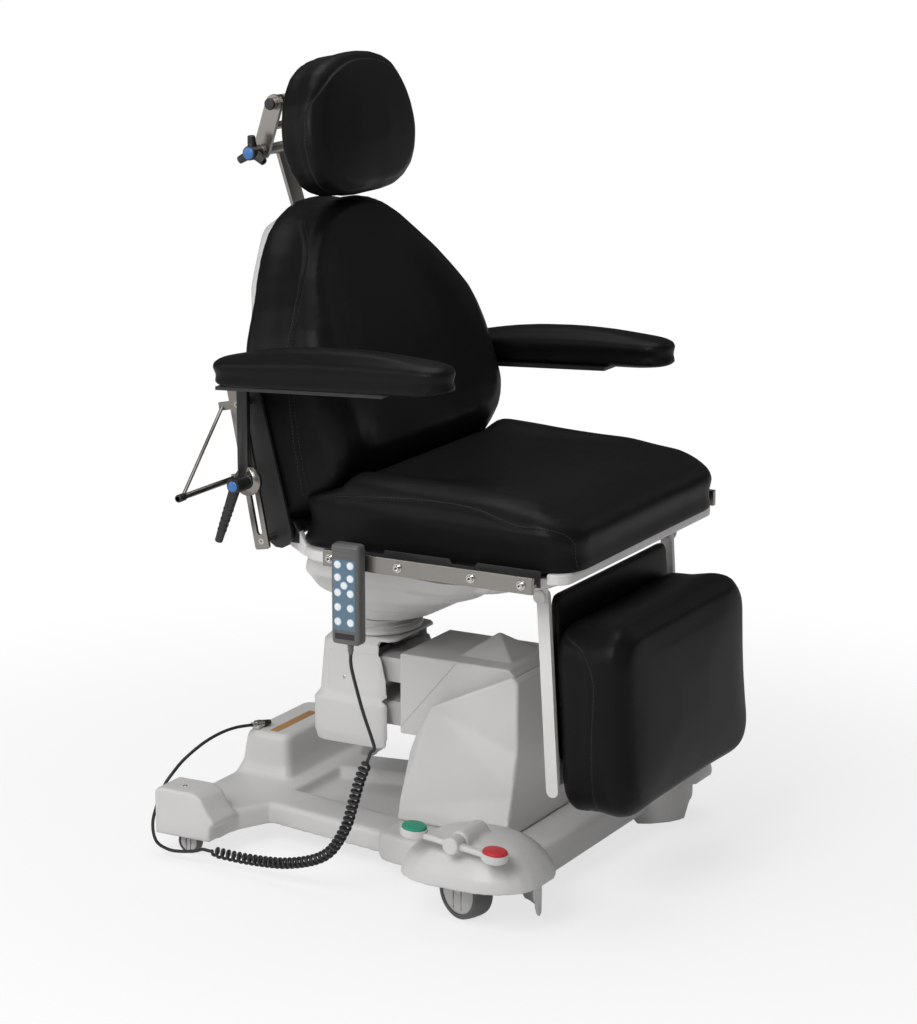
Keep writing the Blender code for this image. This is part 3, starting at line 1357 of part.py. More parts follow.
def headrest(back_body):
    """A bar that slides in the back, a link between two cross tubes, and the head pad."""
    place = leaning(BACK_FOOT, BACK_ANGLE)
    bar_front = -BACK_THICK - SPINE_THICK - 2 * TOUCH
    bar_rear = bar_front - SPINE_THICK
    middle = (bar_front + bar_rear) / 2
    body = joint_empty("head_bar", place @ Vector((0, HEAD_BAR_BOTTOM, middle)), back_body)
    bar_low = (-HEAD_BAR_HALF, HEAD_BAR_BOTTOM, bar_rear)
    bar_high = (HEAD_BAR_HALF, HEAD_BAR_TOP, bar_front)
    bar = block(bar_low, bar_high, place=place)
    low_point = place @ Vector((0, HEAD_BAR_TOP, middle))
    lower_tube = rod((-HEAD_TUBE_HALF, *low_point.yz), (HEAD_TUBE_HALF, *low_point.yz), HEAD_TUBE)
    node("head_bar", fuse(bar, lower_tube), STEEL, body)

    link_body = joint_empty("head_link", low_point, body)
    high = HEAD_UPPER
    low = tuple(low_point.yz)
    cheeks = []
    for side in (-1, 1):
        outline = strap(low, high, 0.016, 0.016)
        cheeks.append(prism(outline, side * HEAD_LINK_X, side * (HEAD_LINK_X + HEAD_LINK_THICK)))
    middle_point = ((low[0] + high[0]) / 2, (low[1] + high[1]) / 2)
    web_y = HEAD_LINK_X + HEAD_LINK_THICK / 2
    web = rod((-web_y, *middle_point), (web_y, *middle_point), 0.007, 14)
    fuse(cheeks[0], web, cheeks[1])
    bores = [rod((-0.2, *p), (0.2, *p), HEAD_TUBE + BORE_FIT) for p in (low, high)]
    node("head_link", cut(cheeks[0], *bores), STEEL, link_body)

    pad_body = joint_empty("head_pad", (0, *high), link_body)
    pad_place = leaning(HEAD_FOOT, HEAD_ANGLE)
    upper_local = pad_place.inverted() @ Vector((0, *high))
    plate_front = -HEAD_THICK - TOUCH
    half_x, half_w, thick = HEAD_PLATE
    plate = block(
        (-half_x, upper_local.y - half_w, plate_front - thick),
        (half_x, upper_local.y + half_w, plate_front),
        place=pad_place,
    )
    upper_tube = rod((-HEAD_TUBE_HALF, *high), (HEAD_TUBE_HALF, *high), HEAD_TUBE)
    ears = []
    for side in (-1, 1):
        outline = [(upper_local.y, upper_local.z), (upper_local.y, plate_front - 0.002)]
        ear = strap(outline[0], outline[1], 0.014, 0.016)
        ear = [(w, min(n, plate_front - 0.001)) for w, n in ear]
        ears.append(prism(ear, side * 0.046, side * 0.056, place=pad_place))
    node("head_bracket", fuse(plate, upper_tube, *ears), STEEL, pad_body)

    half = [(0.0, 0.0), (0.080, 0.003), (0.142, 0.030), (0.168, 0.075), (HEAD_HALF, 0.115)]
    half += [(0.158, 0.168), (0.122, 0.216), (0.064, 0.238), (0.0, HEAD_HEIGHT)]
    outline = [tuple(p) for p in spline(mirrored(half), 2, closed=True)]

    def front(x, w, share):
        return -0.010 + 0.016 * (1 - share)

    pad = cushion(outline, -HEAD_THICK, front, pad_place, None, (0.85, 0.60, 0.30))
    node("head_pad", pad, BLACK_VINYL, pad_body)

    start = -HEAD_TUBE_HALF - TOUCH
    knob_body = joint_empty("head_knob", (start, *low_point.yz), body)
    hub = rod((start, *low_point.yz), (start - KNOB_LENGTH, *low_point.yz), KNOB_HUB, 18)
    wings = []
    for i in range(3):
        angle = math.radians(90.0 + 120.0 * i)
        tip_x = start - KNOB_LENGTH + 0.010
        tip = (tip_x, low[0] + KNOB_REACH * math.cos(angle), low[1] + KNOB_REACH * math.sin(angle))
        wings.append(rod((start - KNOB_LENGTH + 0.014, *low), tip, 0.009, 12, 0.007))
    node("head_knob", fuse(hub, *wings), BLACK_PLASTIC, knob_body)


def leg_section(seat_body):
    """The swinging leg frame with its thin pad, and the thick cushion that slides down it."""
    body = joint_empty("leg", (0, *LEG_PIVOT), seat_body)
    place = leaning(LEG_PIVOT, LEG_ANGLE)
    inner = STRIP_OUTER - STRIP_THICK
    plate_rear = -STRIP_HALF
    plate_front = plate_rear + LEG_PLATE_THICK
    plate = block(
        (-inner - 0.002, -STRIP_LENGTH + 0.012, plate_rear),
        (inner + 0.002, LEG_PLATE_TOP, plate_front),
        place=place,
    )
    strips = []
    for side in (-1, 1):
        outline = strap((-STRIP_LENGTH + STRIP_HALF, 0.0), (0.0, 0.0), STRIP_HALF, STRIP_HALF)
        strips.append(prism(outline, side * inner, side * STRIP_OUTER, place=place))
    fuse(plate, *strips)
    bore = rod((-0.4, 0, 0), (0.4, 0, 0), LEG_PIN + BORE_FIT, place=place)
    node("leg_frame", cut(plate, bore), WHITE_PAINT, body)

    pad_back = plate_front + TOUCH
    top = -0.004
    outline = rounded_rectangle(-LEG_PAD_HALF, LEG_PAD_HALF, top - LEG_PAD_LENGTH, top, 0.020, 3)
    pad = prism(outline, pad_back, pad_back + LEG_PAD_THICK, "Z", 0.004, place)
    node("leg_pad", pad, BLACK_VINYL, body)

    slide = joint_empty("leg_cushion", place @ Vector((0, LEG_CUSHION_TOP, 0)), body)
    back_n = pad_back + LEG_PAD_THICK + TOUCH
    low = LEG_CUSHION_TOP - LEG_CUSHION_HEIGHT
    outline = rounded_rectangle(-LEG_CUSHION_HALF, LEG_CUSHION_HALF, low, LEG_CUSHION_TOP, 0.055, 5)

    def front(x, w, share):
        return back_n + LEG_CUSHION_THICK - 0.008 + 0.010 * (1 - share)

    pad = cushion(outline, back_n, front, place, None, (0.88, 0.74, 0.5, 0.22))
    node("leg_cushion", pad, BLACK_VINYL, slide)


def hand_control(seat_body, base_body):
    """The handset on the right rail and its curly cord to the base."""
    near = -RAIL_OUTER - TOUCH
    far = near - HANDSET_THICK
    half = HANDSET_WIDTH / 2
    case = block((far, HANDSET_Y - half, HANDSET_BOTTOM), (near, HANDSET_Y + half, HANDSET_TOP), 0.004)
    rail_top = RAIL_Z + RAIL_HEIGHT / 2 + TOUCH
    rail_inner = -RAIL_OUTER + RAIL_THICK + TOUCH
    hook_half = HOOK_WIDTH / 2
    over = block(
        (near - 0.008, HANDSET_Y - hook_half, rail_top),
        (rail_inner + HOOK_THICK, HANDSET_Y + hook_half, rail_top + HOOK_THICK),
    )
    behind = block(
        (rail_inner, HANDSET_Y - hook_half, RAIL_Z - 0.004),
        (rail_inner + HOOK_THICK, HANDSET_Y + hook_half, rail_top + HOOK_THICK / 2),
    )
    start = Vector(CORD_LEAD[0])
    relief_top = (start.x, start.y, HANDSET_BOTTOM + 0.002)
    relief_end = (start.x, start.y, start.z + TOUCH)
    relief = rod(relief_top, relief_end, RELIEF_RADIUS, 14, CORD_RADIUS + 0.001)
    keypad_low = HANDSET_BOTTOM + 0.030
    keypad_high = HANDSET_TOP - 0.026
    fuse(case, over, behind, relief)
    recess = block(
        (far - 0.01, HANDSET_Y - half + KEYPAD_MARGIN - TOUCH, keypad_low - TOUCH),
        (far + KEYPAD_THICK, HANDSET_Y + half - KEYPAD_MARGIN + TOUCH, keypad_high + TOUCH),
    )
    body = joint_empty("handset", (near, HANDSET_Y, rail_top), seat_body)
    node("handset_body", cut(case, recess), BLACK_PLASTIC, body)
    keypad = block(
        (far - 0.0004, HANDSET_Y - half + KEYPAD_MARGIN, keypad_low),
        (far + KEYPAD_THICK - TOUCH, HANDSET_Y + half - KEYPAD_MARGIN, keypad_high),
    )
    node("handset_keypad", keypad, KEY_BLUE, body)

    lead = [*CORD_LEAD, *approach(CORD_COIL[0], CORD_COIL[1])]
    tail = [*reversed(approach(CORD_COIL[-1], CORD_COIL[-2])), *CORD_TAIL]
    tube("cord_lead", spline(lead, 2), CORD_RADIUS, 2, body, BLACK_PLASTIC)
    tube("cord_coil", curls(), CORD_RADIUS, 1, base_body, BLACK_PLASTIC)
    tube("cord_tail", spline(tail, 3), CORD_RADIUS, 2, base_body, BLACK_PLASTIC)


def approach(end, beyond):
    """Two points that bring a cord square up to the end of another, which goes on to the point beyond."""
    end = np.array(end)
    heading = (np.array(beyond) - end) / np.linalg.norm(np.array(beyond) - end)
    return [end - heading * (TOUCH + CORD_STRAIGHT), end - heading * TOUCH]


def curls():
    """The curly cord: a helix about a smooth path, with a straight end on each side."""
    path = np.array(spline(CORD_COIL, 24))
    steps = np.linalg.norm(np.diff(path, axis=0), axis=1)
    length = np.concatenate(([0.0], np.cumsum(steps)))
    straight = 2 * CORD_RADIUS
    count = COIL_TURNS * CURL_POINTS
    first = straight
    last = length[-1] - straight
    reach = COIL_RADIUS - CORD_RADIUS
    points = [path[0]]
    normal = np.array((1.0, 0.0, 0.0))
    for i in range(count + 1):
        at = first + (last - first) * i / count
        centre = np.array([np.interp(at, length, path[:, k]) for k in range(3)])
        ahead = np.array([np.interp(at + 0.002, length, path[:, k]) for k in range(3)])
        behind = np.array([np.interp(at - 0.002, length, path[:, k]) for k in range(3)])
        along = (ahead - behind) / np.linalg.norm(ahead - behind)
        normal = normal - along * (normal @ along)
        normal = normal / np.linalg.norm(normal)
        across = np.cross(along, normal)
        swell = fade(i, 0, CURL_POINTS) * fade(count - i, 0, CURL_POINTS)
        angle = 2 * math.pi * i / CURL_POINTS
        points.append(centre + reach * swell * (normal * math.cos(angle) + across * math.sin(angle)))
    points.append(path[-1])
    line = np.array(points)
    apart = np.linalg.norm(line[:, None] - line[None], axis=2)
    far_apart = np.abs(np.arange(len(line))[:, None] - np.arange(len(line))[None]) > CURL_POINTS // 2
    least = apart[far_apart].min() - 2 * CORD_RADIUS
    print(f"curly cord: least gap to itself {1000 * least:.2f} mm")
    return points


def main():
    """Builds every piece of the chair."""
    clear_scene()
    root = joint_empty("base", (0, 0, 0))
    base(root)
    tower(root)
    brake_body = joint_empty("brake", (PEDAL_X, PEDAL_HUB_Y, PEDAL_HUB_Z), root)
    brake(brake_body)
    for side_name, side in (("right", -1), ("left", 1)):
        caster(
            "front_" + side_name,
            side * FRONT_CASTER[0],
            FRONT_CASTER[1],
            side,
            FRONT_WHEEL_RADIUS,
            FRONT_WHEEL_WIDTH,
            FRONT_TRAIL,
            FRONT_POCKET_ROOF,
            FRONT_ARM_WIDTH,
            FRONT_SWIVEL_REST,
            root,
        )
        caster(
            "rear_" + side_name,
            side * REAR_CASTER[0],
            REAR_CASTER[1],
            side,
            REAR_WHEEL_RADIUS,
            REAR_WHEEL_WIDTH,
            REAR_TRAIL,
            REAR_POCKET_ROOF,
            REAR_ARM_WIDTH,
            0.0,
            root,
        )
    carrier = lift(root)
    seat_body = seat(carrier)
    back_body = back(seat_body)
    armrest("right", -1, 0.0, back_body)
    armrest("left", 1, LEFT_DROP, back_body)
    headrest(back_body)
    leg_section(seat_body)
    hand_control(seat_body, root)
    root.location.y = STANCE
    bpy.context.view_layer.update()


main()
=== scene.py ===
"""Dressed scene of a procedure chair: finishes, upholstery, cord, hardware, light and camera."""

import json
import logging
import math
from dataclasses import dataclass, field, replace
from enum import Enum
from typing import Any, Callable, Iterable, Optional, Sequence, Union

import bpy
import numpy as np
from mathutils import Matrix, Vector
from mathutils.bvhtree import BVHTree
from mathutils.kdtree import KDTree

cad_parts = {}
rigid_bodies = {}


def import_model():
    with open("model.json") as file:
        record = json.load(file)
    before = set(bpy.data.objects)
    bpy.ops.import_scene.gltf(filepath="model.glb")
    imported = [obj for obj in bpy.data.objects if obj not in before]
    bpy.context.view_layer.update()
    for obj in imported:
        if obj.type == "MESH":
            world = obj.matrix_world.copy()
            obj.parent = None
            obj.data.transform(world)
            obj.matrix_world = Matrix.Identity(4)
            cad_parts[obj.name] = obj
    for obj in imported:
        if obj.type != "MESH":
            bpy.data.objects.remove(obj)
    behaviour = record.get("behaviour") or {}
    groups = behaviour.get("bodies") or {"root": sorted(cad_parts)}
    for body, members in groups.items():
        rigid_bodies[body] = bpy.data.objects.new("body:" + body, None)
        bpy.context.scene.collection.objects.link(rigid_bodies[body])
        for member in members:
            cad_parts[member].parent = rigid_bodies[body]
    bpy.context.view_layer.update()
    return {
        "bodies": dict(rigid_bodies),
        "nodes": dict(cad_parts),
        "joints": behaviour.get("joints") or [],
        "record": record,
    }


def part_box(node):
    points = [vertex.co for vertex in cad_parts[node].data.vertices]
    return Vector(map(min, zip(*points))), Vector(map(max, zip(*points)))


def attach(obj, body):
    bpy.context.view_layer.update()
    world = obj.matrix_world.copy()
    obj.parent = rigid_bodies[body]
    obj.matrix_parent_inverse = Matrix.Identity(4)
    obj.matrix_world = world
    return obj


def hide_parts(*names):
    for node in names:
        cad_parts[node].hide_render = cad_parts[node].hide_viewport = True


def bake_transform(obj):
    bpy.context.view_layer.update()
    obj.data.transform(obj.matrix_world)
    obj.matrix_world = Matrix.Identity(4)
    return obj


LOG = logging.getLogger("procedure_chair")
# Places below are drawn from a point that lies this far behind the chair's own origin
STANCE = Matrix.Translation((0.0, 0.01524, 0.0))
Place = Sequence[float]
Pair = tuple[float, float]
Triple = tuple[float, float, float]
Piece = bpy.types.Object
Value = Union["Wire", float]


class Side(Enum):
    """The patient's right and left side, with the sign of X there."""

    RIGHT = -1
    LEFT = 1

    @property
    def word(self) -> str:
        """The side's name as the nodes spell it."""
        return self.name.lower()

    def at(self, point: Place) -> Vector:
        """A point given for the left side, on this side."""
        return Vector((self.value * point[0], point[1], point[2]))


class Axis(Enum):
    """The direction in which a flat outline is pushed out."""

    X = 0
    Y = 1
    Z = 2


class Wire:
    """A value in a shader tree that takes part in Python expressions."""

    def __init__(self, desk: "ShaderDesk", socket: bpy.types.NodeSocket) -> None:
        """Keeps the output socket and the desk that it belongs to."""
        self.desk = desk
        self.socket = socket

    def _math(self, operation: str, first: Value, second: Value) -> "Wire":
        """A Math node on two values."""
        return self.desk.node("ShaderNodeMath", {"operation": operation}, {0: first, 1: second})

    def __add__(self, other: Value) -> "Wire":
        """The sum of two values."""
        return self._math("ADD", self, other)

    def __radd__(self, other: Value) -> "Wire":
        """The sum of two values."""
        return self._math("ADD", other, self)

    def __sub__(self, other: Value) -> "Wire":
        """The difference of two values."""
        return self._math("SUBTRACT", self, other)

    def __rsub__(self, other: Value) -> "Wire":
        """The difference of two values."""
        return self._math("SUBTRACT", other, self)

    def __mul__(self, other: Value) -> "Wire":
        """The product of two values."""
        return self._math("MULTIPLY", self, other)

    def __rmul__(self, other: Value) -> "Wire":
        """The product of two values."""
        return self._math("MULTIPLY", other, self)


class ShaderDesk:
    """A material under construction."""

    def __init__(self, name: str) -> None:
        """Starts a material with its main shader and its output.

        Args:
            name: the material's name.
        """
        self.material = bpy.data.materials.new(name)
        self.material.use_nodes = True
        self.tree = self.material.node_tree
        self.tree.nodes.clear()
        self.output = self.tree.nodes.new("ShaderNodeOutputMaterial")
        self.shader = self.tree.nodes.new("ShaderNodeBsdfPrincipled")
        self.tree.links.new(self.shader.outputs[0], self.output.inputs["Surface"])

    def node(
        self,
        kind: str,
        settings: Optional[dict[str, Any]] = None,
        values: Optional[dict[Union[str, int], Any]] = None,
        output: Union[str, int] = 0,
    ) -> Wire:
        """Adds a node.

        Args:
            kind: the node's type.
            settings: properties that are set before its sockets; "stops" fills a ramp.
            values: numbers, colours or wires for its inputs.
            output: the output that is handed back.

        Returns:
            The wire of that output.
        """
        made = self.tree.nodes.new(kind)
        for key, setting in (settings or {}).items():
            if key == "stops":
                self._fill_ramp(made, setting)
            else:
                setattr(made, key, setting)
        for key, value in (values or {}).items():
            self.feed(made.inputs[key], value)
        return Wire(self, made.outputs[output])

    @staticmethod
    def _fill_ramp(ramp: bpy.types.Node, stops: Sequence[tuple[float, Place]]) -> None:
        """Gives a colour ramp its stops.

        Args:
            ramp: the ramp's node.
            stops: pairs of position and colour.
        """
        for index, (position, colour) in enumerate(stops):
            elements = ramp.color_ramp.elements
            element = elements[index] if index < len(elements) else elements.new(position)
            element.position = position
            element.color = (*colour, 1.0)

    def feed(self, socket: bpy.types.NodeSocket, value: Any) -> None:
        """Links a wire to a socket, or sets the socket's own value.

        Args:
            socket: the socket.
            value: the wire, number or colour.
        """
        if isinstance(value, Wire):
            self.tree.links.new(value.socket, socket)
        else:
            socket.default_value = value

    def set(self, name: str, value: Any) -> None:
        """Feeds an input of the main shader."""
        self.feed(self.shader.inputs[name], value)


@dataclass(frozen=True)
class Finish:
    """A surface: its colour, its gloss and its grain."""

    name: str
    slot: str
    colour: Triple
    roughness: float
    metallic: float = 0.0
    mottle: float = 0.04
    tint: float = 0.03
    grain: float = 600.0
    relief: float = 0.0
    stretch: Triple = (1.0, 1.0, 1.0)
    pebbled: bool = False
    coat: float = 0.0
    shine: float = 0.5
    cloud_scale: float = 7.0
    coat_roughness: float = 0.12
    bump_strength: float = 0.6

    def material(self) -> bpy.types.Material:
        """The finish as a material, made once.

        Returns:
            The material.
        """
        ready = bpy.data.materials.get(self.name)
        if ready is not None:
            return ready
        desk = ShaderDesk(self.name)
        where = desk.node("ShaderNodeTexCoord", output="Object")
        cloud = desk.node(
            "ShaderNodeTexNoise",
            None,
            {"Vector": where, "Scale": self.cloud_scale, "Detail": 3.0},
        )
        ramp = desk.node(
            "ShaderNodeValToRGB",
            {"stops": [(0.25, self._shade(1 - self.tint)), (0.75, self._shade(1 + self.tint))]},
            {0: cloud},
        )
        desk.set("Base Color", ramp)
        desk.set("Roughness", self.roughness + (cloud - 0.5) * (2 * self.mottle))
        desk.set("Metallic", self.metallic)
        desk.set("Specular IOR Level", self.shine)
        if self.coat > 0:
            desk.set("Coat Weight", self.coat)
            desk.set("Coat Roughness", self.coat_roughness)
        if self.relief > 0:
            desk.set("Normal", self._bump(desk, where))
        return desk.material

    def _shade(self, factor: float) -> Triple:
        """The colour, lighter or darker."""
        return tuple(min(1.0, channel * factor) for channel in self.colour)

    def _bump(self, desk: ShaderDesk, where: Wire) -> Wire:
        """The grain as a bump.

        Args:
            desk: the material under construction.
            where: the object coordinates.

        Returns:
            The normal that the grain gives.
        """
        drawn = desk.node("ShaderNodeMapping", None, {"Vector": where, "Scale": self.stretch})
        height = desk.node(
            "ShaderNodeTexNoise", None, {"Vector": drawn, "Scale": self.grain, "Detail": 2.0}
        )
        if self.pebbled:
            cells = desk.node(
                "ShaderNodeTexVoronoi",
                {"feature": "DISTANCE_TO_EDGE"},
                {"Vector": drawn, "Scale": self.grain * 0.7},
            )
            height = height * 0.4 + cells * 1.2
        return desk.node(
            "ShaderNodeBump",
            None,
            {"Height": height, "Distance": self.relief, "Strength": self.bump_strength},
        )


SHELL = Finish(
    "shell_plastic", "shell", (0.62, 0.615, 0.605), 0.42, tint=0.012, grain=1500.0, relief=0.00004
)
# Dark grey for painted shade: thin lines laid where a groove's shade falls
GROOVE_SHADE = Finish("shell_shadow_gap", "shell", (0.16, 0.158, 0.155), 0.6)
VINYL = Finish(
    "black_vinyl",
    "vinyl",
    (0.0070, 0.0068, 0.0067),
    0.42,
    mottle=0.05,
    tint=0.10,
    grain=820.0,
    relief=0.00012,
    pebbled=True,
    shine=0.10,
)
THREAD = Finish("black_thread", "vinyl", (0.016, 0.016, 0.016), 0.62, grain=2500.0, relief=0.00010)
STEEL = Finish(
    "brushed_steel",
    "steel",
    (0.30, 0.285, 0.265),
    0.30,
    metallic=1.0,
    grain=300.0,
    relief=0.00002,
    stretch=(1.0, 0.04, 1.0),
)
BRIGHT = Finish("bright_steel", "steel", (0.56, 0.55, 0.53), 0.22, metallic=1.0)
DARK_STEEL = Finish("dark_steel_plate", "dark_steel", (0.14, 0.14, 0.14), 0.45, metallic=1.0)
BLACK = Finish(
    "black_plastic_moulded",
    "black_plastic",
    (0.016, 0.016, 0.017),
    0.42,
    grain=1200.0,
    relief=0.00005,
)
HANDSET_GREY = Finish(
    "handset_grey", "black_plastic", (0.115, 0.113, 0.112), 0.40, grain=1500.0, relief=0.00005
)
WHITE = Finish("white_paint_gloss", "white_paint", (0.70, 0.69, 0.675), 0.32, coat=0.2)
TYRE = Finish("grey_tyre", "tyre", (0.115, 0.114, 0.112), 0.55)
DISC = Finish("wheel_disc", "tyre", (0.58, 0.575, 0.565), 0.40)
GREEN = Finish("green_brake_pad", "green_pad", (0.020, 0.30, 0.185), 0.42)
RED = Finish("red_brake_pad", "red_pad", (0.58, 0.026, 0.034), 0.42)
PANEL = Finish("key_panel_blue", "key_panel", (0.105, 0.170, 0.235), 0.38)
KEY_WHITE = Finish("key_white", "key_panel", (0.80, 0.81, 0.82), 0.40)
KEY_RIM = Finish("key_rim_blue", "key_panel", (0.26, 0.44, 0.58), 0.40)
CAP_BLUE = Finish("blue_cap", "key_panel", (0.045, 0.16, 0.42), 0.35)
AMBER = Finish("amber_strip", "shell", (0.42, 0.235, 0.090), 0.45)
CORD = Finish("cord_black", "cord", (0.015, 0.015, 0.016), 0.45)


class Bench:
    """The modelling steps that every piece shares."""

    @staticmethod
    def clear() -> None:
        """Leaves edit mode and deselects everything."""
        if bpy.context.object is not None and bpy.context.object.mode != "OBJECT":
            bpy.ops.object.mode_set(mode="OBJECT")
        bpy.ops.object.select_all(action="DESELECT")

    @staticmethod
    def pick(*pieces: Piece) -> None:
        """Selects pieces alone, the first one active.

        Args:
            pieces: the pieces.
        """
        Bench.clear()
        for piece in pieces:
            piece.select_set(True)
        bpy.context.view_layer.objects.active = pieces[0]

    @staticmethod
    def settle(piece: Piece, place: Optional[Matrix] = None) -> Piece:
        """Puts a piece's place into its mesh.

        Args:
            piece: the piece.
            place: a further placement.

        Returns:
            The piece, at the origin.
        """
        if place is not None:
            piece.matrix_world = place @ piece.matrix_world
        Bench.pick(piece)
        bpy.ops.object.transform_apply(location=True, rotation=True, scale=True)
        return piece

    @staticmethod
    def modify(piece: Piece, kind: str, **settings: Any) -> Piece:
        """Adds a modifier and applies it.

        Args:
            piece: the piece.
            kind: the modifier's type.
            settings: the modifier's properties.

        Returns:
            The piece.
        """
        modifier = piece.modifiers.new(kind.lower(), kind)
        for key, value in settings.items():
            setattr(modifier, key, value)
        Bench.pick(piece)
        bpy.ops.object.modifier_apply(modifier=modifier.name)
        return piece

    @staticmethod
    def soften(piece: Piece, width: float, segments: int = 3) -> Piece:
        """Rounds the sharp edges of a piece.

        Args:
            piece: the piece.
            width: the radius of its edges; 0 leaves them sharp.
            segments: how many steps the rounding has.

        Returns:
            The piece.
        """
        if width <= 0:
            return piece
        return Bench.modify(
            piece,
            "BEVEL",
            width=width,
            segments=segments,
            limit_method="ANGLE",
            angle_limit=math.radians(40),
        )

    @staticmethod
    def smooth(piece: Piece, rounds: int) -> Piece:
        """Evens out a piece's surface, round by round."""
        return Bench.modify(piece, "SMOOTH", factor=0.5, iterations=rounds)

    @staticmethod
    def towards(direction: Place) -> Matrix:
        """The turn that lays the Z axis along a direction."""
        return Vector((0, 0, 1)).rotation_difference(Vector(direction)).to_matrix().to_4x4()

    @staticmethod
    def drawn(
        name: str,
        corners: Sequence[Place],
        faces: Sequence[Sequence[int]] = (),
        edges: Sequence[tuple[int, int]] = (),
    ) -> Piece:
        """A new piece from bare corners.

        Args:
            name: the piece's name.
            corners: its corners.
            faces: its faces, as rows of corner numbers.
            edges: its loose edges, as pairs of corner numbers.

        Returns:
            The piece.
        """
        mesh = bpy.data.meshes.new(name)
        mesh.from_pydata(corners, edges, faces)
        piece = bpy.data.objects.new(name, mesh)
        bpy.context.scene.collection.objects.link(piece)
        return piece

    @staticmethod
    def box(
        name: str, low: Place, high: Place, round_edge: float = 0.0, place: Optional[Matrix] = None
    ) -> Piece:
        """A block between two corners, with rounded edges.

        Args:
            name: the piece's name.
            low: the lowest corner.
            high: the highest corner.
            round_edge: the radius of its edges.
            place: a further placement.

        Returns:
            The block.
        """
        Bench.clear()
        low_v, high_v = Vector(low), Vector(high)
        bpy.ops.mesh.primitive_cube_add(size=1.0, location=(low_v + high_v) / 2)
        piece = bpy.context.object
        piece.name = name
        piece.scale = [abs(high_v[i] - low_v[i]) for i in range(3)]
        Bench.settle(piece)
        Bench.soften(piece, round_edge)
        return Bench.settle(piece, place)

    @staticmethod
    def rod(
        name: str,
        start: Place,
        end: Place,
        radius: float,
        end_radius: Optional[float] = None,
        sides: int = 32,
        round_edge: float = 0.0,
    ) -> Piece:
        """A round bar between two points, straight or tapered.

        Args:
            name: the piece's name.
            start: the middle of its first end.
            end: the middle of its other end.
            radius: its radius at the first end.
            end_radius: its radius at the other end.
            sides: how many sides it has.
            round_edge: the radius of its rims.

        Returns:
            The bar.
        """
        Bench.clear()
        first, last = Vector(start), Vector(end)
        along = last - first
        bpy.ops.mesh.primitive_cone_add(
            vertices=sides,
            radius1=radius,
            radius2=radius if end_radius is None else end_radius,
            depth=along.length,
        )
        piece = bpy.context.object
        piece.name = name
        piece.matrix_world = Matrix.Translation((first + last) / 2) @ Bench.towards(along)
        Bench.settle(piece)
        return Bench.soften(piece, round_edge)

    @staticmethod
    def turned(
        name: str, profile: Sequence[Pair], foot: Place, axis: Place, steps: int = 40
    ) -> Piece:
        """A piece spun from half a section.

        Args:
            name: the piece's name.
            profile: pairs of radius and height, both ends on the axis or the loop closed.
            foot: where height 0 of the axis stands.
            axis: the axis's direction.
            steps: how many steps make a full turn.

        Returns:
            The turned piece.
        """
        edges = [(i, i + 1) for i in range(len(profile) - 1)]
        if profile[0][0] > 0 and profile[-1][0] > 0:
            edges.append((len(profile) - 1, 0))
        piece = Bench.drawn(name, [(r, 0.0, h) for r, h in profile], edges=edges)
        Bench.pick(piece)
        bpy.ops.object.mode_set(mode="EDIT")
        bpy.ops.mesh.select_all(action="SELECT")
        bpy.ops.mesh.spin(steps=steps, angle=2 * math.pi, center=(0, 0, 0), axis=(0, 0, 1))
        bpy.ops.mesh.select_all(action="SELECT")
        bpy.ops.mesh.remove_doubles(threshold=0.00001)
        bpy.ops.mesh.normals_make_consistent(inside=False)
        bpy.ops.object.mode_set(mode="OBJECT")
        return Bench.settle(piece, Matrix.Translation(Vector(foot)) @ Bench.towards(axis))

    @staticmethod
    def pushed(
        name: str,
        outline: Sequence[Pair],
        start: float,
        end: float,
        axis: Axis,
        round_edge: float = 0.0,
        place: Optional[Matrix] = None,
    ) -> Piece:
        """A flat outline extruded into a plate.

        Args:
            name: the piece's name.
            outline: the corners in the two other axes, in their order.
            start: where the plate begins along the axis.
            end: where it ends.
            axis: the direction of the extrusion.
            round_edge: the radius of its edges.
            place: a further placement.

        Returns:
            The plate.
        """
        corners = []
        for a, b in outline:
            point = [a, b]
            point.insert(axis.value, start)
            corners.append(point)
        step = [0.0, 0.0, 0.0]
        step[axis.value] = end - start
        piece = Bench.drawn(name, corners, [list(range(len(corners)))])
        Bench.pick(piece)
        bpy.ops.object.mode_set(mode="EDIT")
        bpy.ops.mesh.select_all(action="SELECT")
        bpy.ops.mesh.extrude_region_move(TRANSFORM_OT_translate={"value": step})
        bpy.ops.mesh.select_all(action="SELECT")
        bpy.ops.mesh.normals_make_consistent(inside=False)
        bpy.ops.object.mode_set(mode="OBJECT")
        Bench.soften(piece, round_edge)
        return Bench.settle(piece, place)

    @staticmethod
    def swept(name: str, path: Sequence[Place], radius: float, sides: int = 10) -> Piece:
        """A round bar along a path, as a mesh.

        Args:
            name: the piece's name.
            path: the points it follows.
            radius: its radius.
            sides: how many sides it has.

        Returns:
            The bar.
        """
        points = np.array([tuple(p) for p in path], float)
        along = np.gradient(points, axis=0)
        along /= np.linalg.norm(along, axis=1)[:, None]
        # a first direction along which no path here starts
        normal = np.array((0.31, 0.27, 0.91))
        turns = [2 * math.pi * i / sides for i in range(sides)]
        rings = []
        for point, heading in zip(points, along):
            normal = normal - heading * (normal @ heading)
            normal = normal / np.linalg.norm(normal)
            across = np.cross(heading, normal)
            spokes = [normal * math.cos(t) + across * math.sin(t) for t in turns]
            rings.append([point + radius * spoke for spoke in spokes])
        corners = [tuple(p) for ring in rings for p in ring]
        faces: list[list[int]] = []
        for i in range(len(rings) - 1):
            for j in range(sides):
                k = (j + 1) % sides
                faces.append([i * sides + j, i * sides + k, (i + 1) * sides + k, (i + 1) * sides + j])
        faces.append(list(range(sides))[::-1])
        faces.append([(len(rings) - 1) * sides + j for j in range(sides)])
        return Bench.drawn(name, corners, faces)

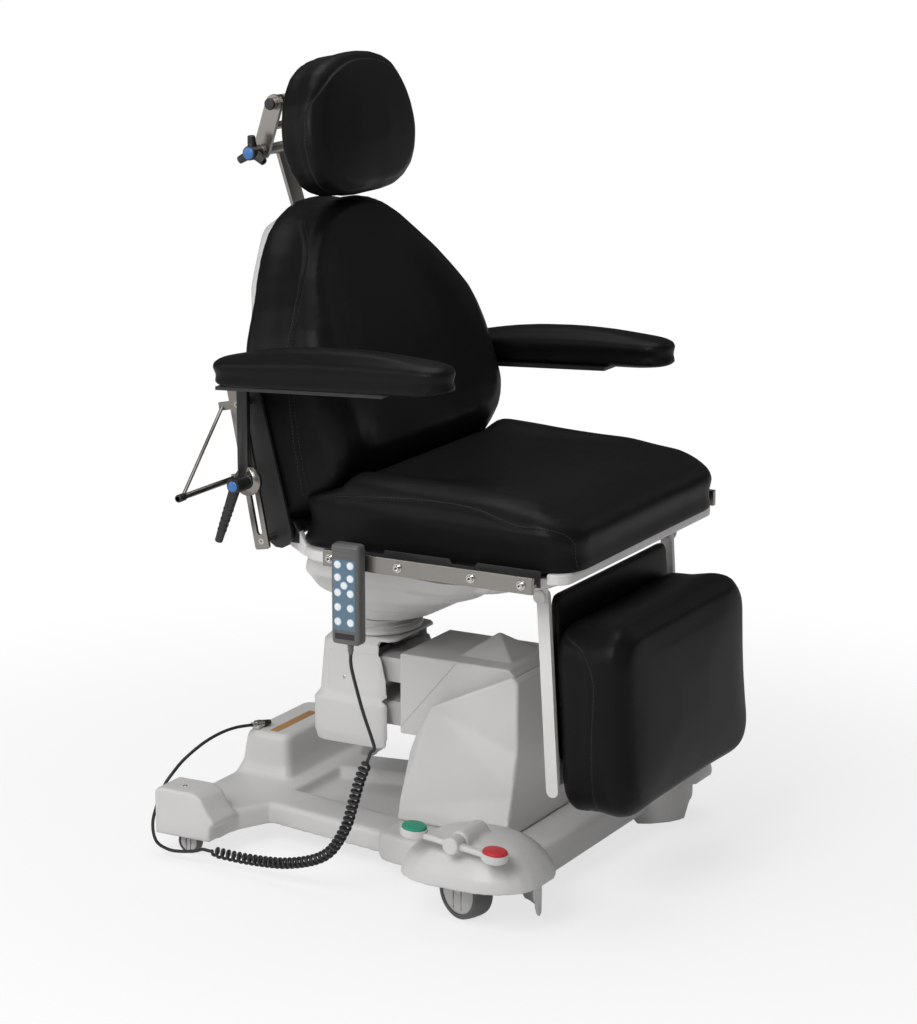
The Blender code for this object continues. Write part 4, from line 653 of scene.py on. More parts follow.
    @staticmethod
    def copied(piece: Piece, name: str, place: Matrix) -> Piece:
        """A copy of a piece with a mesh of its own.

        Args:
            piece: the piece that is copied.
            name: the copy's name.
            place: where the copy goes; a mirror turns its faces round.

        Returns:
            The copy.
        """
        other = piece.copy()
        other.data = piece.data.copy()
        other.name = name
        bpy.context.scene.collection.objects.link(other)
        other.data.transform(place)
        if place.determinant() < 0:
            other.data.flip_normals()
        return other

    @staticmethod
    def joined(name: str, pieces: Sequence[Piece]) -> Piece:
        """Several pieces as one object.

        Args:
            name: the object's name.
            pieces: the pieces.

        Returns:
            The object.
        """
        Bench.pick(*pieces)
        if len(pieces) > 1:
            bpy.ops.object.join()
        piece = bpy.context.object
        piece.name = name
        piece.data.name = name
        return piece

    @staticmethod
    def carve(piece: Piece, *tools: Piece) -> Piece:
        """Cuts tools out of a piece and removes them.

        Args:
            piece: the piece.
            tools: the tools.

        Returns:
            The piece.
        """
        for tool in tools:
            Bench.modify(piece, "BOOLEAN", operation="DIFFERENCE", solver="EXACT", object=tool)
            bpy.data.objects.remove(tool)
        return piece

    @staticmethod
    def weld(*pieces: Piece) -> Piece:
        """Unites pieces into the first one.

        Args:
            pieces: the pieces.

        Returns:
            The first piece.
        """
        first = pieces[0]
        for other in pieces[1:]:
            Bench.modify(first, "BOOLEAN", operation="UNION", solver="EXACT", object=other)
            bpy.data.objects.remove(other)
        return first

    @staticmethod
    def shade(piece: Piece, angle: float = 38.0) -> None:
        """Smooth shading up to an angle."""
        Bench.pick(piece)
        bpy.ops.object.shade_smooth_by_angle(angle=math.radians(angle))


@dataclass
class Dresser:
    """Gives finished pieces their material and their body."""

    frame: dict[str, Any]

    def dress(
        self,
        piece: Piece,
        finish: Finish,
        body: Optional[str],
        replaces: Iterable[str] = (),
        angle: float = 38.0,
    ) -> Piece:
        """Finishes a piece.

        Args:
            piece: the piece.
            finish: its surface.
            body: the body that carries it, or None, which leaves it on no body.
            replaces: the nodes that it stands for.
            angle: smooth shading up to this angle.

        Returns:
            The piece.
        """
        piece.data.transform(STANCE)
        piece.data.materials.clear()
        piece.data.materials.append(finish.material())
        if piece.type == "MESH":
            Bench.shade(piece, angle)
        if body is not None:
            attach(piece, body)
        nodes = tuple(replaces)
        if nodes:
            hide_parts(*nodes)
        LOG.info("%s on %s", piece.name, body)
        return piece

    def paint(self, finish: Finish, *nodes: str) -> None:
        """Gives CAD nodes a finish.

        Args:
            finish: the finish.
            nodes: the nodes' names.
        """
        for name in nodes:
            node = self.frame["nodes"][name]
            if node.material_slots:
                node.material_slots[0].material = finish.material()
            else:
                node.data.materials.append(finish.material())

    def taken(self, node: str, name: str) -> Piece:
        """A loose copy of a CAD node.

        Args:
            node: the node.
            name: the copy's name.

        Returns:
            The copy, where the pieces are drawn.
        """
        piece = Bench.copied(self.frame["nodes"][node], name, STANCE.inverted())
        piece.parent = None
        piece.hide_render = False
        piece.hide_viewport = False
        piece.matrix_world = Matrix.Identity(4)
        return Bench.modify(piece, "WELD", merge_threshold=0.00002)

    def mould(self, node: str, name: str, voxel: float, rounds: int) -> Piece:
        """A copy of a CAD node with moulded, rounded edges.

        Args:
            node: the node.
            name: the copy's name.
            voxel: the size of the new mesh's cells.
            rounds: how often the surface is smoothed.

        Returns:
            The copy.
        """
        piece = self.taken(node, name)
        Bench.modify(piece, "REMESH", mode="VOXEL", voxel_size=voxel, adaptivity=0.0)
        return Bench.smooth(piece, rounds)


class Curve:
    """Smooth lines through given points."""

    @staticmethod
    def through(points: Sequence[Place], per_span: int) -> list[np.ndarray]:
        """Points on a smooth curve through the given ones.

        Args:
            points: the given points.
            per_span: how many points each span gets.

        Returns:
            The curve's points.
        """
        knots = [np.array(p, float) for p in points]
        ring = [2 * knots[0] - knots[1], *knots, 2 * knots[-1] - knots[-2]]
        out = []
        for before, a, b, after in zip(ring, ring[1:], ring[2:], ring[3:]):
            for i in range(per_span):
                t = i / per_span
                even = 2 * a + (b - before) * t
                bend = (2 * before - 5 * a + 4 * b - after) * t * t
                twist = (3 * a - before - 3 * b + after) * t**3
                out.append(0.5 * (even + bend + twist))
        out.append(knots[-1])
        return out

    @staticmethod
    def length(points: Sequence[Place]) -> float:
        """The length of a line through points."""
        line = np.array([tuple(p) for p in points])
        return float(np.linalg.norm(np.diff(line, axis=0), axis=1).sum())

    @staticmethod
    def even(points: Sequence[Place], pitch: float) -> np.ndarray:
        """Points at an even pitch along a line.

        Args:
            points: the line.
            pitch: the distance between the new points.

        Returns:
            The new points.
        """
        line = np.array([tuple(p) for p in points], float)
        steps = np.linalg.norm(np.diff(line, axis=0), axis=1)
        at = np.concatenate(([0.0], np.cumsum(steps)))
        count = max(2, int(at[-1] / pitch) + 1)
        wanted = np.linspace(0.0, at[-1], count)
        return np.stack([np.interp(wanted, at, line[:, k]) for k in range(3)], axis=1)

    @staticmethod
    def fade(value: float, low: float, high: float) -> float:
        """A smooth step from 0 to 1."""
        t = min(1.0, max(0.0, (value - low) / (high - low)))
        return t * t * (3 - 2 * t)


@dataclass
class Studio:
    """The camera at the photograph's place, the floor and the lamps."""

    eye: Triple = (-4.809, -2.675, 1.959)
    right: Triple = (0.4844, -0.8749, 0.0)
    up: Triple = (0.2071, 0.1147, 0.9716)
    forward: Triple = (0.850, 0.4706, -0.2367)
    lens: float = 112.9
    floor_half: float = 30.0
    near: float = 0.6
    far: float = 1.9
    near_glow: float = 0.72
    mirror_glow: float = 0.45
    room_light: float = 0.09
    target: Triple = (0.0, 0.0, 0.6)
    lamps: tuple[tuple[str, Place, float, float], ...] = (
        ("key_lamp", (-3.6, -0.2, 3.0), 2.0, 108.0),
        ("front_lamp", (-1.6, -3.8, 2.4), 2.0, 9.0),
        ("fill_lamp", (-2.8, 2.8, 2.0), 2.2, 34.0),
        ("top_lamp", (0.3, 0.3, 3.6), 2.2, 46.0),
        ("rim_lamp", (3.0, -1.6, 2.6), 2.0, 4.0),
    )

    def camera(self) -> None:
        """Sets up the camera."""
        data = bpy.data.cameras.new("photo_camera")
        data.lens = self.lens
        data.sensor_width = 36.0
        data.sensor_fit = "AUTO"
        data.clip_end = 200.0
        camera = bpy.data.objects.new("photo_camera", data)
        bpy.context.scene.collection.objects.link(camera)
        back = tuple(-c for c in self.forward)
        turn = Matrix((self.right, self.up, back)).transposed().to_4x4()
        camera.matrix_world = STANCE @ Matrix.Translation(self.eye) @ turn
        bpy.context.scene.camera = camera

    def floor(self) -> None:
        """Lays the pale floor, which looks lit by itself away from the chair."""
        Bench.clear()
        bpy.ops.mesh.primitive_plane_add(size=2 * self.floor_half, location=(0, 0, 0))
        floor = bpy.context.object
        floor.name = "studio_floor"
        Bench.settle(floor)
        desk = ShaderDesk("pale_floor")
        desk.set("Base Color", (0.93, 0.93, 0.93, 1.0))
        desk.set("Roughness", 0.9)
        desk.set("Specular IOR Level", 0.1)
        glow = desk.node("ShaderNodeEmission", None, {"Color": (1.0, 1.0, 1.0, 1.0), "Strength": 1.0})
        seen = desk.node("ShaderNodeLightPath", output="Is Camera Ray")
        mirrored = desk.node("ShaderNodeLightPath", output="Is Glossy Ray")
        where = desk.node("ShaderNodeTexCoord", output="Object")
        away = desk.node("ShaderNodeVectorMath", {"operation": "LENGTH"}, {0: where}, "Value")
        outer = desk.node(
            "ShaderNodeMapRange",
            {"interpolation_type": "SMOOTHSTEP"},
            {
                "Value": away,
                "From Min": self.near,
                "From Max": self.far,
                "To Min": self.near_glow,
                "To Max": 1.0,
            },
        )
        share = (seen + mirrored * self.mirror_glow) * outer
        own = Wire(desk, desk.shader.outputs[0])
        mixed = desk.node("ShaderNodeMixShader", None, {0: share, 1: own, 2: glow})
        desk.feed(desk.output.inputs["Surface"], mixed)
        floor.data.materials.append(desk.material)

    def lamp(self, name: str, place: Place, size: float, power: float) -> None:
        """Hangs one soft lamp that looks at the chair.

        Args:
            name: the lamp's name.
            place: where it hangs.
            size: the side of its square.
            power: its power in watts.
        """
        data = bpy.data.lights.new(name, "AREA")
        data.shape = "SQUARE"
        data.size = size
        data.energy = power
        lamp = bpy.data.objects.new(name, data)
        bpy.context.scene.collection.objects.link(lamp)
        lamp.location = place
        gaze = Vector(self.target) - Vector(place)
        lamp.rotation_euler = gaze.to_track_quat("-Z", "Y").to_euler()

    def lights(self) -> None:
        """Hangs the lamps and lights the room."""
        for lamp in self.lamps:
            self.lamp(*lamp)
        world = bpy.data.worlds.new("studio_room")
        bpy.context.scene.world = world
        world.use_nodes = True
        background = world.node_tree.nodes["Background"]
        background.inputs["Color"].default_value = (1.0, 1.0, 1.0, 1.0)
        background.inputs["Strength"].default_value = self.room_light
        bpy.context.scene.view_settings.view_transform = "Standard"

    def build(self) -> None:
        """Sets the whole studio."""
        self.camera()
        self.floor()
        self.lights()


@dataclass
class HandCord:
    """The handset's cord: a straight lead, a curly stretch and a tail that ends on the base."""

    radius: float = 0.003
    straight: float = 0.012
    coil_radius: float = 0.0105
    turns: int = 42
    curl_points: int = 14
    touch: float = 0.0003
    probe: float = 0.002
    coil_steps: int = 24
    line_steps: int = 6
    lead: tuple[Place, ...] = (
        (-0.372, -0.0120, 0.4537), (-0.372, -0.0120, 0.4380), (-0.373, -0.0170, 0.4170),
        (-0.374, -0.0350, 0.3600), (-0.373, -0.0540, 0.3080), (-0.372, -0.0565, 0.2940),
    )
    coil: tuple[Place, ...] = (
        (-0.3712, -0.0448, 0.2757), (-0.368, -0.026, 0.235), (-0.364, -0.010, 0.190),
        (-0.358, 0.012, 0.134), (-0.350, 0.056, 0.079), (-0.336, 0.136, 0.046),
        (-0.324, 0.228, 0.033), (-0.323, 0.315, 0.034),
    )
    tail: tuple[Place, ...] = (
        (-0.3235, 0.341, 0.029), (-0.3220, 0.370, 0.0225), (-0.3180, 0.402, 0.0195),
        (-0.3040, 0.438, 0.025), (-0.2760, 0.464, 0.046), (-0.2470, 0.472, 0.075),
        (-0.2260, 0.470, 0.103), (-0.2090, 0.464, 0.121), (-0.1820, 0.457, 0.140),
        (-0.1380, 0.446, 0.159), (-0.0950, 0.437, 0.168), (-0.0580, 0.426, 0.171),
        (-0.0240, 0.412, 0.169),
    )
    chain: tuple[tuple[str, str], ...] = (
        ("handset", "seat"),
        ("seat", "carrier"),
        ("carrier", "upper_arm"),
        ("upper_arm", "base"),
    )
    shares: tuple[float, ...] = (0.0, 0.10, 0.20, 0.40, 1.0)

    def approach(self, end: Place, beyond: Place) -> list[np.ndarray]:
        """Two points that bring a cord square up to the end of the curly stretch.

        Args:
            end: the end of the curly stretch.
            beyond: the next point of its path.

        Returns:
            The two points.
        """
        tip = np.array(end)
        heading = (np.array(beyond) - tip) / np.linalg.norm(np.array(beyond) - tip)
        return [tip - heading * (self.touch + self.straight), tip - heading * self.touch]

    def curls(self) -> np.ndarray:
        """The curly stretch: a helix about its path.

        Returns:
            The points of its middle line.
        """
        path = np.array(Curve.through(self.coil, self.coil_steps))
        steps = np.linalg.norm(np.diff(path, axis=0), axis=1)
        at_path = np.concatenate(([0.0], np.cumsum(steps)))
        count = self.turns * self.curl_points
        first = 2 * self.radius
        last = at_path[-1] - 2 * self.radius
        reach = self.coil_radius - self.radius
        points = [path[0]]
        normal = np.array((1.0, 0.0, 0.0))
        for i in range(count + 1):
            at = first + (last - first) * i / count
            three = [
                np.array([np.interp(at + step, at_path, path[:, k]) for k in range(3)])
                for step in (-self.probe, 0.0, self.probe)
            ]
            along = (three[2] - three[0]) / np.linalg.norm(three[2] - three[0])
            normal = normal - along * (normal @ along)
            normal = normal / np.linalg.norm(normal)
            across = np.cross(along, normal)
            swell = Curve.fade(i, 0, self.curl_points) * Curve.fade(count - i, 0, self.curl_points)
            angle = 2 * math.pi * i / self.curl_points
            spoke = normal * math.cos(angle) + across * math.sin(angle)
            points.append(three[1] + reach * swell * spoke)
        points.append(path[-1])
        return np.array(points)

    def line(self, name: str, points: Sequence[Place]) -> Piece:
        """A plain stretch of cord as a curve.

        Args:
            name: its name.
            points: its route.

        Returns:
            The curve.
        """
        curve = bpy.data.curves.new(name, "CURVE")
        curve.dimensions = "3D"
        curve.bevel_depth = self.radius
        curve.bevel_resolution = 3
        curve.use_fill_caps = True
        spline = curve.splines.new("POLY")
        spline.points.add(len(points) - 1)
        for slot, point in zip(spline.points, points):
            slot.co = (*point, 1.0)
        piece = bpy.data.objects.new(name, curve)
        bpy.context.scene.collection.objects.link(piece)
        return piece

    def declare(self, points: np.ndarray) -> None:
        """Works out the length and the thickness of a stretch of the cord, and keeps neither.

        Args:
            points: its middle line.
        """
        Curve.length(points)
        2 * self.radius

    def build(self, dresser: Dresser) -> None:
        """Makes the cord.

        Args:
            dresser: gives the pieces their finish.
        """
        knots = [*self.lead, *self.approach(self.coil[0], self.coil[1])]
        lead_points = np.array(Curve.through(knots, self.line_steps))
        lead = self.line("hand_cord_lead", lead_points)
        dresser.dress(lead, CORD, "handset", ["cord_lead"])
        self.declare(lead_points)
        knots = [*reversed(self.approach(self.coil[-1], self.coil[-2])), *self.tail]
        tail_points = np.array(Curve.through(knots, self.line_steps))
        tail = self.line("hand_cord_tail", tail_points)
        dresser.dress(tail, CORD, "base", ["cord_tail"])
        self.declare(tail_points)
        points = self.curls()
        ends = (np.array(self.shares) * (len(points) - 1)).astype(int)
        for index, (upper, lower) in enumerate(self.chain):
            part = points[ends[index] : ends[index + 1] + 1]
            piece = Bench.swept(f"hand_cord_curls_{index + 1}", part, self.radius, 9)
            dresser.dress(piece, CORD, None, ["cord_coil"] if index == 0 else [], 60.0)
            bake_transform(piece)
            self.declare(part)


@dataclass
class Seam:
    """A sewn line on a pad: a groove with rows of stitches beside it."""

    points: tuple[Place, ...]
    width: float = 0.0035
    depth: float = 0.0015
    rows: tuple[float, ...] = (0.0040,)
    pitch: float = 0.0062
    closed: bool = False
    fineness: float = 0.002
    stitch_half: float = 0.0019
    stitch_radius: float = 0.00062

    def route(self) -> np.ndarray:
        """The seam's line at a fine pitch.

        Returns:
            The points of the line.
        """
        points = list(self.points)
        if self.closed:
            points = points + points[:1]
        return Curve.even(Curve.through(points, 10), self.fineness)

    def other_side(self) -> "Seam":
        """The same seam on the other side.

        Returns:
            The mirrored seam.
        """
        turned = tuple((-p[0], p[1], p[2]) for p in self.points)
        rows = tuple(-row for row in self.rows)
        return replace(self, points=turned, rows=rows)


@dataclass
class Pad:
    """One upholstered pad."""

    node: str
    body: str
    seams: tuple[Seam, ...] = ()
    voxel: float = 0.006
    cap: float = 0.0045
    fill: float = 0.75
    pressure: float = 3.0
    frames: int = 20
    tautness: int = 5
    calm: int = 60
    form: Optional[Callable[[np.ndarray], np.ndarray]] = None
    seating: Optional[Callable[[np.ndarray], np.ndarray]] = None

    @staticmethod
    def read(mesh: bpy.types.Mesh, what: str) -> np.ndarray:
        """The places or normals of a mesh's corners.

        Args:
            mesh: the mesh.
            what: "co" for places, "normal" for normals.

        Returns:
            One row for each corner.
        """
        values = np.empty(len(mesh.vertices) * 3)
        mesh.vertices.foreach_get(what, values)
        return values.reshape(-1, 3)

    @staticmethod
    def write(mesh: bpy.types.Mesh, places: np.ndarray) -> None:
        """Moves a mesh's corners to new places."""
        mesh.vertices.foreach_set("co", places.ravel())
        mesh.update()

    @staticmethod
    def surface(mesh: bpy.types.Mesh) -> BVHTree:
        """A mesh's surface, for finding its nearest points."""
        faces = [tuple(p.vertices) for p in mesh.polygons]
        return BVHTree.FromPolygons([v.co for v in mesh.vertices], faces)

    def swell(self, piece: Piece) -> None:
        """Fills the pad as a cloth bag under pressure.

        Args:
            piece: the remeshed pad.
        """
        start = Pad.read(piece.data, "co")
        cloth = piece.modifiers.new("filling", "CLOTH")
        cloth.settings.quality = 4
        cloth.settings.mass = 0.3
        cloth.settings.tension_stiffness = 25.0
        cloth.settings.compression_stiffness = 1.0
        cloth.settings.shear_stiffness = 1.0
        cloth.settings.bending_stiffness = 12.0
        cloth.settings.use_pressure = True
        cloth.settings.uniform_pressure_force = self.pressure
        cloth.settings.effector_weights.gravity = 0.0
        cloth.collision_settings.use_collision = False
        cloth.point_cache.frame_start = 1
        cloth.point_cache.frame_end = self.frames
        for number in range(1, self.frames + 1):
            bpy.context.scene.frame_set(number)
        Bench.pick(piece)
        bpy.ops.object.modifier_apply(modifier=cloth.name)
        bpy.context.scene.frame_set(1)
        move = Pad.read(piece.data, "co") - start
        size = np.linalg.norm(move, axis=1)
        keep = np.minimum(1.0, self.cap / np.maximum(size, 1e-9))
        Pad.write(piece.data, start + self.evened(piece.data, move * keep[:, None]))
        LOG.info("%s swelled by up to %.1f mm", self.node, 1000 * size.max())

    def evened(self, mesh: bpy.types.Mesh, move: np.ndarray) -> np.ndarray:
        """Evens out the swelling between neighbouring corners, so that the cover stays taut.

        Args:
            mesh: the pad's mesh.
            move: how far each corner went.

        Returns:
            The evened moves.
        """
        edges = np.empty(len(mesh.edges) * 2, dtype=np.int64)
        mesh.edges.foreach_get("vertices", edges)
        first, second = edges.reshape(-1, 2).T
        ends = np.concatenate((first, second))
        others = np.concatenate((second, first))
        count = np.bincount(ends, minlength=len(move))
        for _ in range(self.calm):
            columns = [np.bincount(ends, column[others], len(move)) for column in move.T]
            move = (move + np.stack(columns, axis=1) / count[:, None]) / 2
        return move

    def sew(self, piece: Piece, seam: Seam) -> Piece:
        """Draws the groove of a seam into the pad and lays its stitches.

        Args:
            piece: the pad.
            seam: the seam.

        Returns:
            The stitches of the seam.
        """
        mesh = piece.data
        tree = Pad.surface(mesh)
        line = [tree.find_nearest(Vector(p))[0] for p in seam.route()]
        near = KDTree(len(line))
        for index, point in enumerate(line):
            near.insert(point, index)
        near.balance()
        corners = Pad.read(mesh, "co")
        normals = Pad.read(mesh, "normal")
        distances = np.array([near.find(Vector(corner))[2] for corner in corners])
        share = np.exp(-((distances / seam.width) ** 2))
        Pad.write(mesh, corners - normals * (seam.depth * share)[:, None])
        return self.stitches(piece, seam, line)

    def stitches(self, piece: Piece, seam: Seam, line: Sequence[Vector]) -> Piece:
        """Lays the rows of stitches beside a seam.

        Args:
            piece: the pad.
            seam: the seam.
            line: the seam's points on the pad.

        Returns:
            The stitches as one mesh.
        """
        tree = Pad.surface(piece.data)
        start, end = (0, 0, -seam.stitch_half), (0, 0, seam.stitch_half)
        pattern = Bench.rod("stitch", start, end, seam.stitch_radius, sides=6, round_edge=0.0003)
        corners = np.array([v.co for v in pattern.data.vertices])
        faces = [tuple(p.vertices) for p in pattern.data.polygons]
        bpy.data.objects.remove(pattern)
        spots = Curve.even(line, seam.pitch)
        ahead = np.gradient(spots, axis=0)
        all_corners: list[np.ndarray] = []
        all_faces: list[tuple[int, ...]] = []
        for row in seam.rows:
            for spot, heading in zip(spots, ahead):
                along = Vector(heading).normalized()
                hit, normal, _, _ = tree.find_nearest(Vector(spot))
                beside = hit + normal.cross(along).normalized() * row
                hit, normal, _, _ = tree.find_nearest(beside)
                across = normal.cross(along).normalized()
                along = across.cross(normal).normalized()
                turn = np.array((tuple(across), tuple(normal), tuple(along))).T
                base = len(all_corners) * len(corners)
                all_corners.append(corners @ turn.T + np.array(hit))
                all_faces += [tuple(base + i for i in face) for face in faces]
        name = piece.name + "_stitches"
        return Bench.drawn(name, np.concatenate(all_corners).tolist(), all_faces)

    def build(self, dresser: Dresser) -> None:
        """Makes the pad.

        Args:
            dresser: gives the pieces their finish.
        """
        piece = dresser.mould(self.node, self.node + "_upholstery", self.voxel, 2)
        if self.form is not None:
            Pad.write(piece.data, self.form(Pad.read(piece.data, "co")))
        self.swell(piece)
        Bench.smooth(piece, self.tautness)
        if self.seating is not None:
            Pad.write(piece.data, self.seating(Pad.read(piece.data, "co")))
        Bench.modify(piece, "SUBSURF", levels=1, render_levels=1)
        rows = [self.sew(piece, seam) for seam in self.seams]
        dresser.dress(piece, VINYL, self.body, [self.node], 180.0)
        if rows:
            thread = Bench.joined(self.node + "_stitches", rows)
            dresser.dress(thread, THREAD, self.body)


@dataclass
class Upholstery:
    """All the pads of the chair."""

    seat_seam: Seam = field(
        default_factory=lambda: Seam(
            (
                (-0.2985, 0.060, 0.697), (-0.2976, 0.0316, 0.7006), (-0.2923, -0.0336, 0.7053),
                (-0.2881, -0.0987, 0.7086), (-0.2868, -0.1457, 0.7087),
                (-0.2878, -0.1936, 0.7059), (-0.2914, -0.2275, 0.7005),
                (-0.2961, -0.2544, 0.6946), (-0.2985, -0.2931, 0.6880),
                (-0.2960, -0.3290, 0.6880), (-0.2880, -0.3520, 0.6850),
                (-0.2800, -0.3690, 0.6770), (-0.2710, -0.3800, 0.6600),
                (-0.2650, -0.3800, 0.6280),
            )
        )
    )
    back_seam: Seam = field(
        default_factory=lambda: Seam(
            (
                (-0.1115, 0.2335, 1.126), (-0.1618, 0.1987, 1.1058), (-0.1924, 0.1802, 1.0804),
                (-0.2221, 0.1703, 1.0511), (-0.2438, 0.1652, 1.0205), (-0.2604, 0.1633, 0.9889),
                (-0.2710, 0.1632, 0.9563), (-0.2782, 0.1592, 0.9200), (-0.2817, 0.1517, 0.8817),
                (-0.2781, 0.1468, 0.8210), (-0.2725, 0.1392, 0.7511), (-0.2644, 0.1349, 0.6975),
            ),
            rows=(0.005, -0.005),
        )
    )
    head_seam: Seam = field(
        default_factory=lambda: Seam(
            (
                (0.0, 0.192, 1.404), (-0.060, 0.190, 1.392), (-0.107, 0.188, 1.3751),
                (-0.1504, 0.1886, 1.3482), (-0.1626, 0.1934, 1.3237), (-0.1691, 0.1930, 1.299),
                (-0.1714, 0.1900, 1.269), (-0.1618, 0.1880, 1.2389), (-0.144, 0.1862, 1.2112),
                (-0.0971, 0.190, 1.1837), (0.0, 0.190, 1.178), (0.0971, 0.190, 1.1837),
                (0.144, 0.1862, 1.2112), (0.1618, 0.1880, 1.2389), (0.1714, 0.1900, 1.269),
                (0.1691, 0.1930, 1.299), (0.1626, 0.1934, 1.3237), (0.1504, 0.1886, 1.3482),
                (0.107, 0.188, 1.3751), (0.060, 0.190, 1.392),
            ),
            closed=True,
        )
    )
    leg_seam: Seam = field(
        default_factory=lambda: Seam(
            (
                (-0.2150, -0.3230, 0.5020), (-0.2271, -0.3407, 0.4913),
                (-0.2353, -0.3768, 0.4690), (-0.2398, -0.4035, 0.4309),
                (-0.2393, -0.4041, 0.3616), (-0.2387, -0.4025, 0.3090),
                (-0.2382, -0.4030, 0.2389), (-0.2300, -0.3980, 0.1900),
                (-0.2050, -0.3800, 0.1600),
            )
        )
    )
    arm_inner: float = 0.353
    arm_width: float = 0.088
    arm_front: float = -0.225
    arm_rear: float = 0.229
    arm_crown: float = 0.014
    left_drop: float = -0.0168
    back_foot: Pair = (0.050, 0.718)
    back_angle: float = math.radians(18.0)
    flank_depth: float = 0.070
    plate_cover: float = 0.3180
    seat_reach: float = 0.050
    seat_low_reach: float = 0.018
    bolster_rise: float = 0.009
    leg_flare: float = 0.060
    pan_top: float = 0.6056
    lip_rise: float = 0.0110
    # Stretches over which a form eases in, along its own direction, and how far it goes
    seat_upper: Pair = (0.630, 0.690)
    seat_rear: Pair = (-0.060, 0.066)
    seat_gap: float = 0.006
    bolster_inner: Pair = (0.190, 0.255)
    bolster_outer: Pair = (0.280, 0.302)
    bolster_front: Pair = (-0.330, -0.200)
    back_depth: Pair = (0.030, 0.100)
    back_levels: int = 20
    flank_span: Pair = (0.170, 0.262)
    flank_climb: Pair = (-0.02, 0.42)
    broad_span: Pair = (0.190, 0.250)
    broad_climb: Pair = (0.10, 0.36)
    crown_climb: Pair = (0.12, 0.46)
    crown_spread: float = 0.13
    crown_lift: float = 0.018
    top_climb: Pair = (0.38, 0.47)
    top_lift: float = 0.006
    tail_depth: Pair = (0.085, 0.108)
    tail_span: Pair = (0.289, 0.300)
    tail_climb: Pair = (-0.045, 0.10)
    tail_drop: float = 0.026
    head_broad: float = 1.04
    head_tall: float = 1.035
    leg_depth: Pair = (0.318, 0.460)
    lip_depth: Pair = (0.315, 0.338)
    arm_top: Pair = (0.35, 0.80)
    arm_low: Pair = (0.10, 0.55)
    arm_round: float = 0.75
    arm_taper: float = 0.10

    @staticmethod
    def ease(values: np.ndarray, low: float, high: float) -> np.ndarray:
        """A smooth step from 0 to 1 on many values."""
        t = np.clip((values - low) / (high - low), 0.0, 1.0)
        return t * t * (3 - 2 * t)

    def seat_form(self, corners: np.ndarray) -> np.ndarray:
        """Draws the seat's rear edge back under the back and raises its bolsters.

        Args:
            corners: the pad's corners.

        Returns:
            The corners in their new places.
        """
        out = corners.copy()
        high = self.ease(corners[:, 2], *self.seat_upper)
        draw = self.seat_reach * high + self.seat_low_reach * (1 - high)
        out[:, 1] += draw * self.ease(corners[:, 1], *self.seat_rear)
        reach = np.abs(corners[:, 0])
        bolster = self.ease(reach, *self.bolster_inner)
        bolster = bolster * (1 - self.ease(reach, *self.bolster_outer))
        rise = self.bolster_rise * bolster * high
        out[:, 2] += rise * self.ease(corners[:, 1], *self.bolster_front)
        foot_y, foot_z = self.back_foot
        roof = foot_z - (out[:, 1] - foot_y) * math.tan(self.back_angle) - self.seat_gap
        hidden = out[:, 1] > foot_y
        out[hidden, 2] = np.minimum(out[hidden, 2], roof[hidden])
        return out

    def back_form(self, corners: np.ndarray) -> np.ndarray:
        """Deepens and widens the back's flanks towards the seat and fills its rear top edge.

        Args:
            corners: the pad's corners.

        Returns:
            The corners in their new places.
        """
        sine, cosine = math.sin(self.back_angle), math.cos(self.back_angle)
        dy = corners[:, 1] - self.back_foot[0]
        dz = corners[:, 2] - self.back_foot[1]
        along = dy * sine + dz * cosine
        out_of = dz * sine - dy * cosine
        reach = np.abs(corners[:, 0])
        behind = self.ease(-out_of, *self.back_depth)
        flank = self.ease(reach, *self.flank_span)
        low = 1 - self.ease(along, *self.flank_climb)
        broad = behind * (1 - self.ease(along, *self.broad_climb))
        crown = behind * self.ease(along, *self.crown_climb)
        out = corners.copy()
        levels = np.linspace(along.min(), along.max(), self.back_levels)
        level = np.digitize(along, levels)
        widths = [reach[level == row + 1].max() for row in range(len(levels))]
        spare = np.maximum(self.plate_cover - np.interp(along, levels, widths), 0.0)
        outward = np.sign(corners[:, 0]) * spare * broad
        out[:, 0] += outward * self.ease(reach, *self.broad_span)
        out[:, 0] *= 1 + self.crown_spread * crown
        tail = self.ease(-out_of, *self.tail_depth) * self.ease(np.abs(out[:, 0]), *self.tail_span)
        foot = self.tail_drop * tail * (1 - self.ease(along, *self.tail_climb))
        top = self.top_lift * self.ease(along, *self.top_climb)
        out_of = out_of - self.flank_depth * behind * flank * low
        along = along - foot + self.crown_lift * crown + top
        out[:, 1] = self.back_foot[0] + along * sine - out_of * cosine
        out[:, 2] = self.back_foot[1] + along * cosine + out_of * sine
        return out

    def head_form(self, corners: np.ndarray) -> np.ndarray:
        """Fills the head pad out to its cover.

        Args:
            corners: the pad's corners.

        Returns:
            The corners in their new places.
        """
        out = corners.copy()
        middle = (corners[:, 2].min() + corners[:, 2].max()) / 2
        out[:, 0] *= self.head_broad
        out[:, 2] = middle + (corners[:, 2] - middle) * self.head_tall
        return out

    def leg_form(self, corners: np.ndarray) -> np.ndarray:
        """Widens the leg cushion towards its front face.

        Args:
            corners: the pad's corners.

        Returns:
            The corners in their new places.
        """
        out = corners.copy()
        out[:, 0] *= 1 + self.leg_flare * self.ease(-corners[:, 1], *self.leg_depth)
        return out

    def seat_rest(self, corners: np.ndarray) -> np.ndarray:
        """Sets the seat's underside flat on the pan and its front lip.

        Args:
            corners: the pad's corners.

        Returns:
            The corners in their new places.
        """
        out = corners.copy()
        low = self.pan_top + self.lip_rise * self.ease(-corners[:, 1], *self.lip_depth)
        out[:, 2] = np.maximum(out[:, 2], low)
        return out

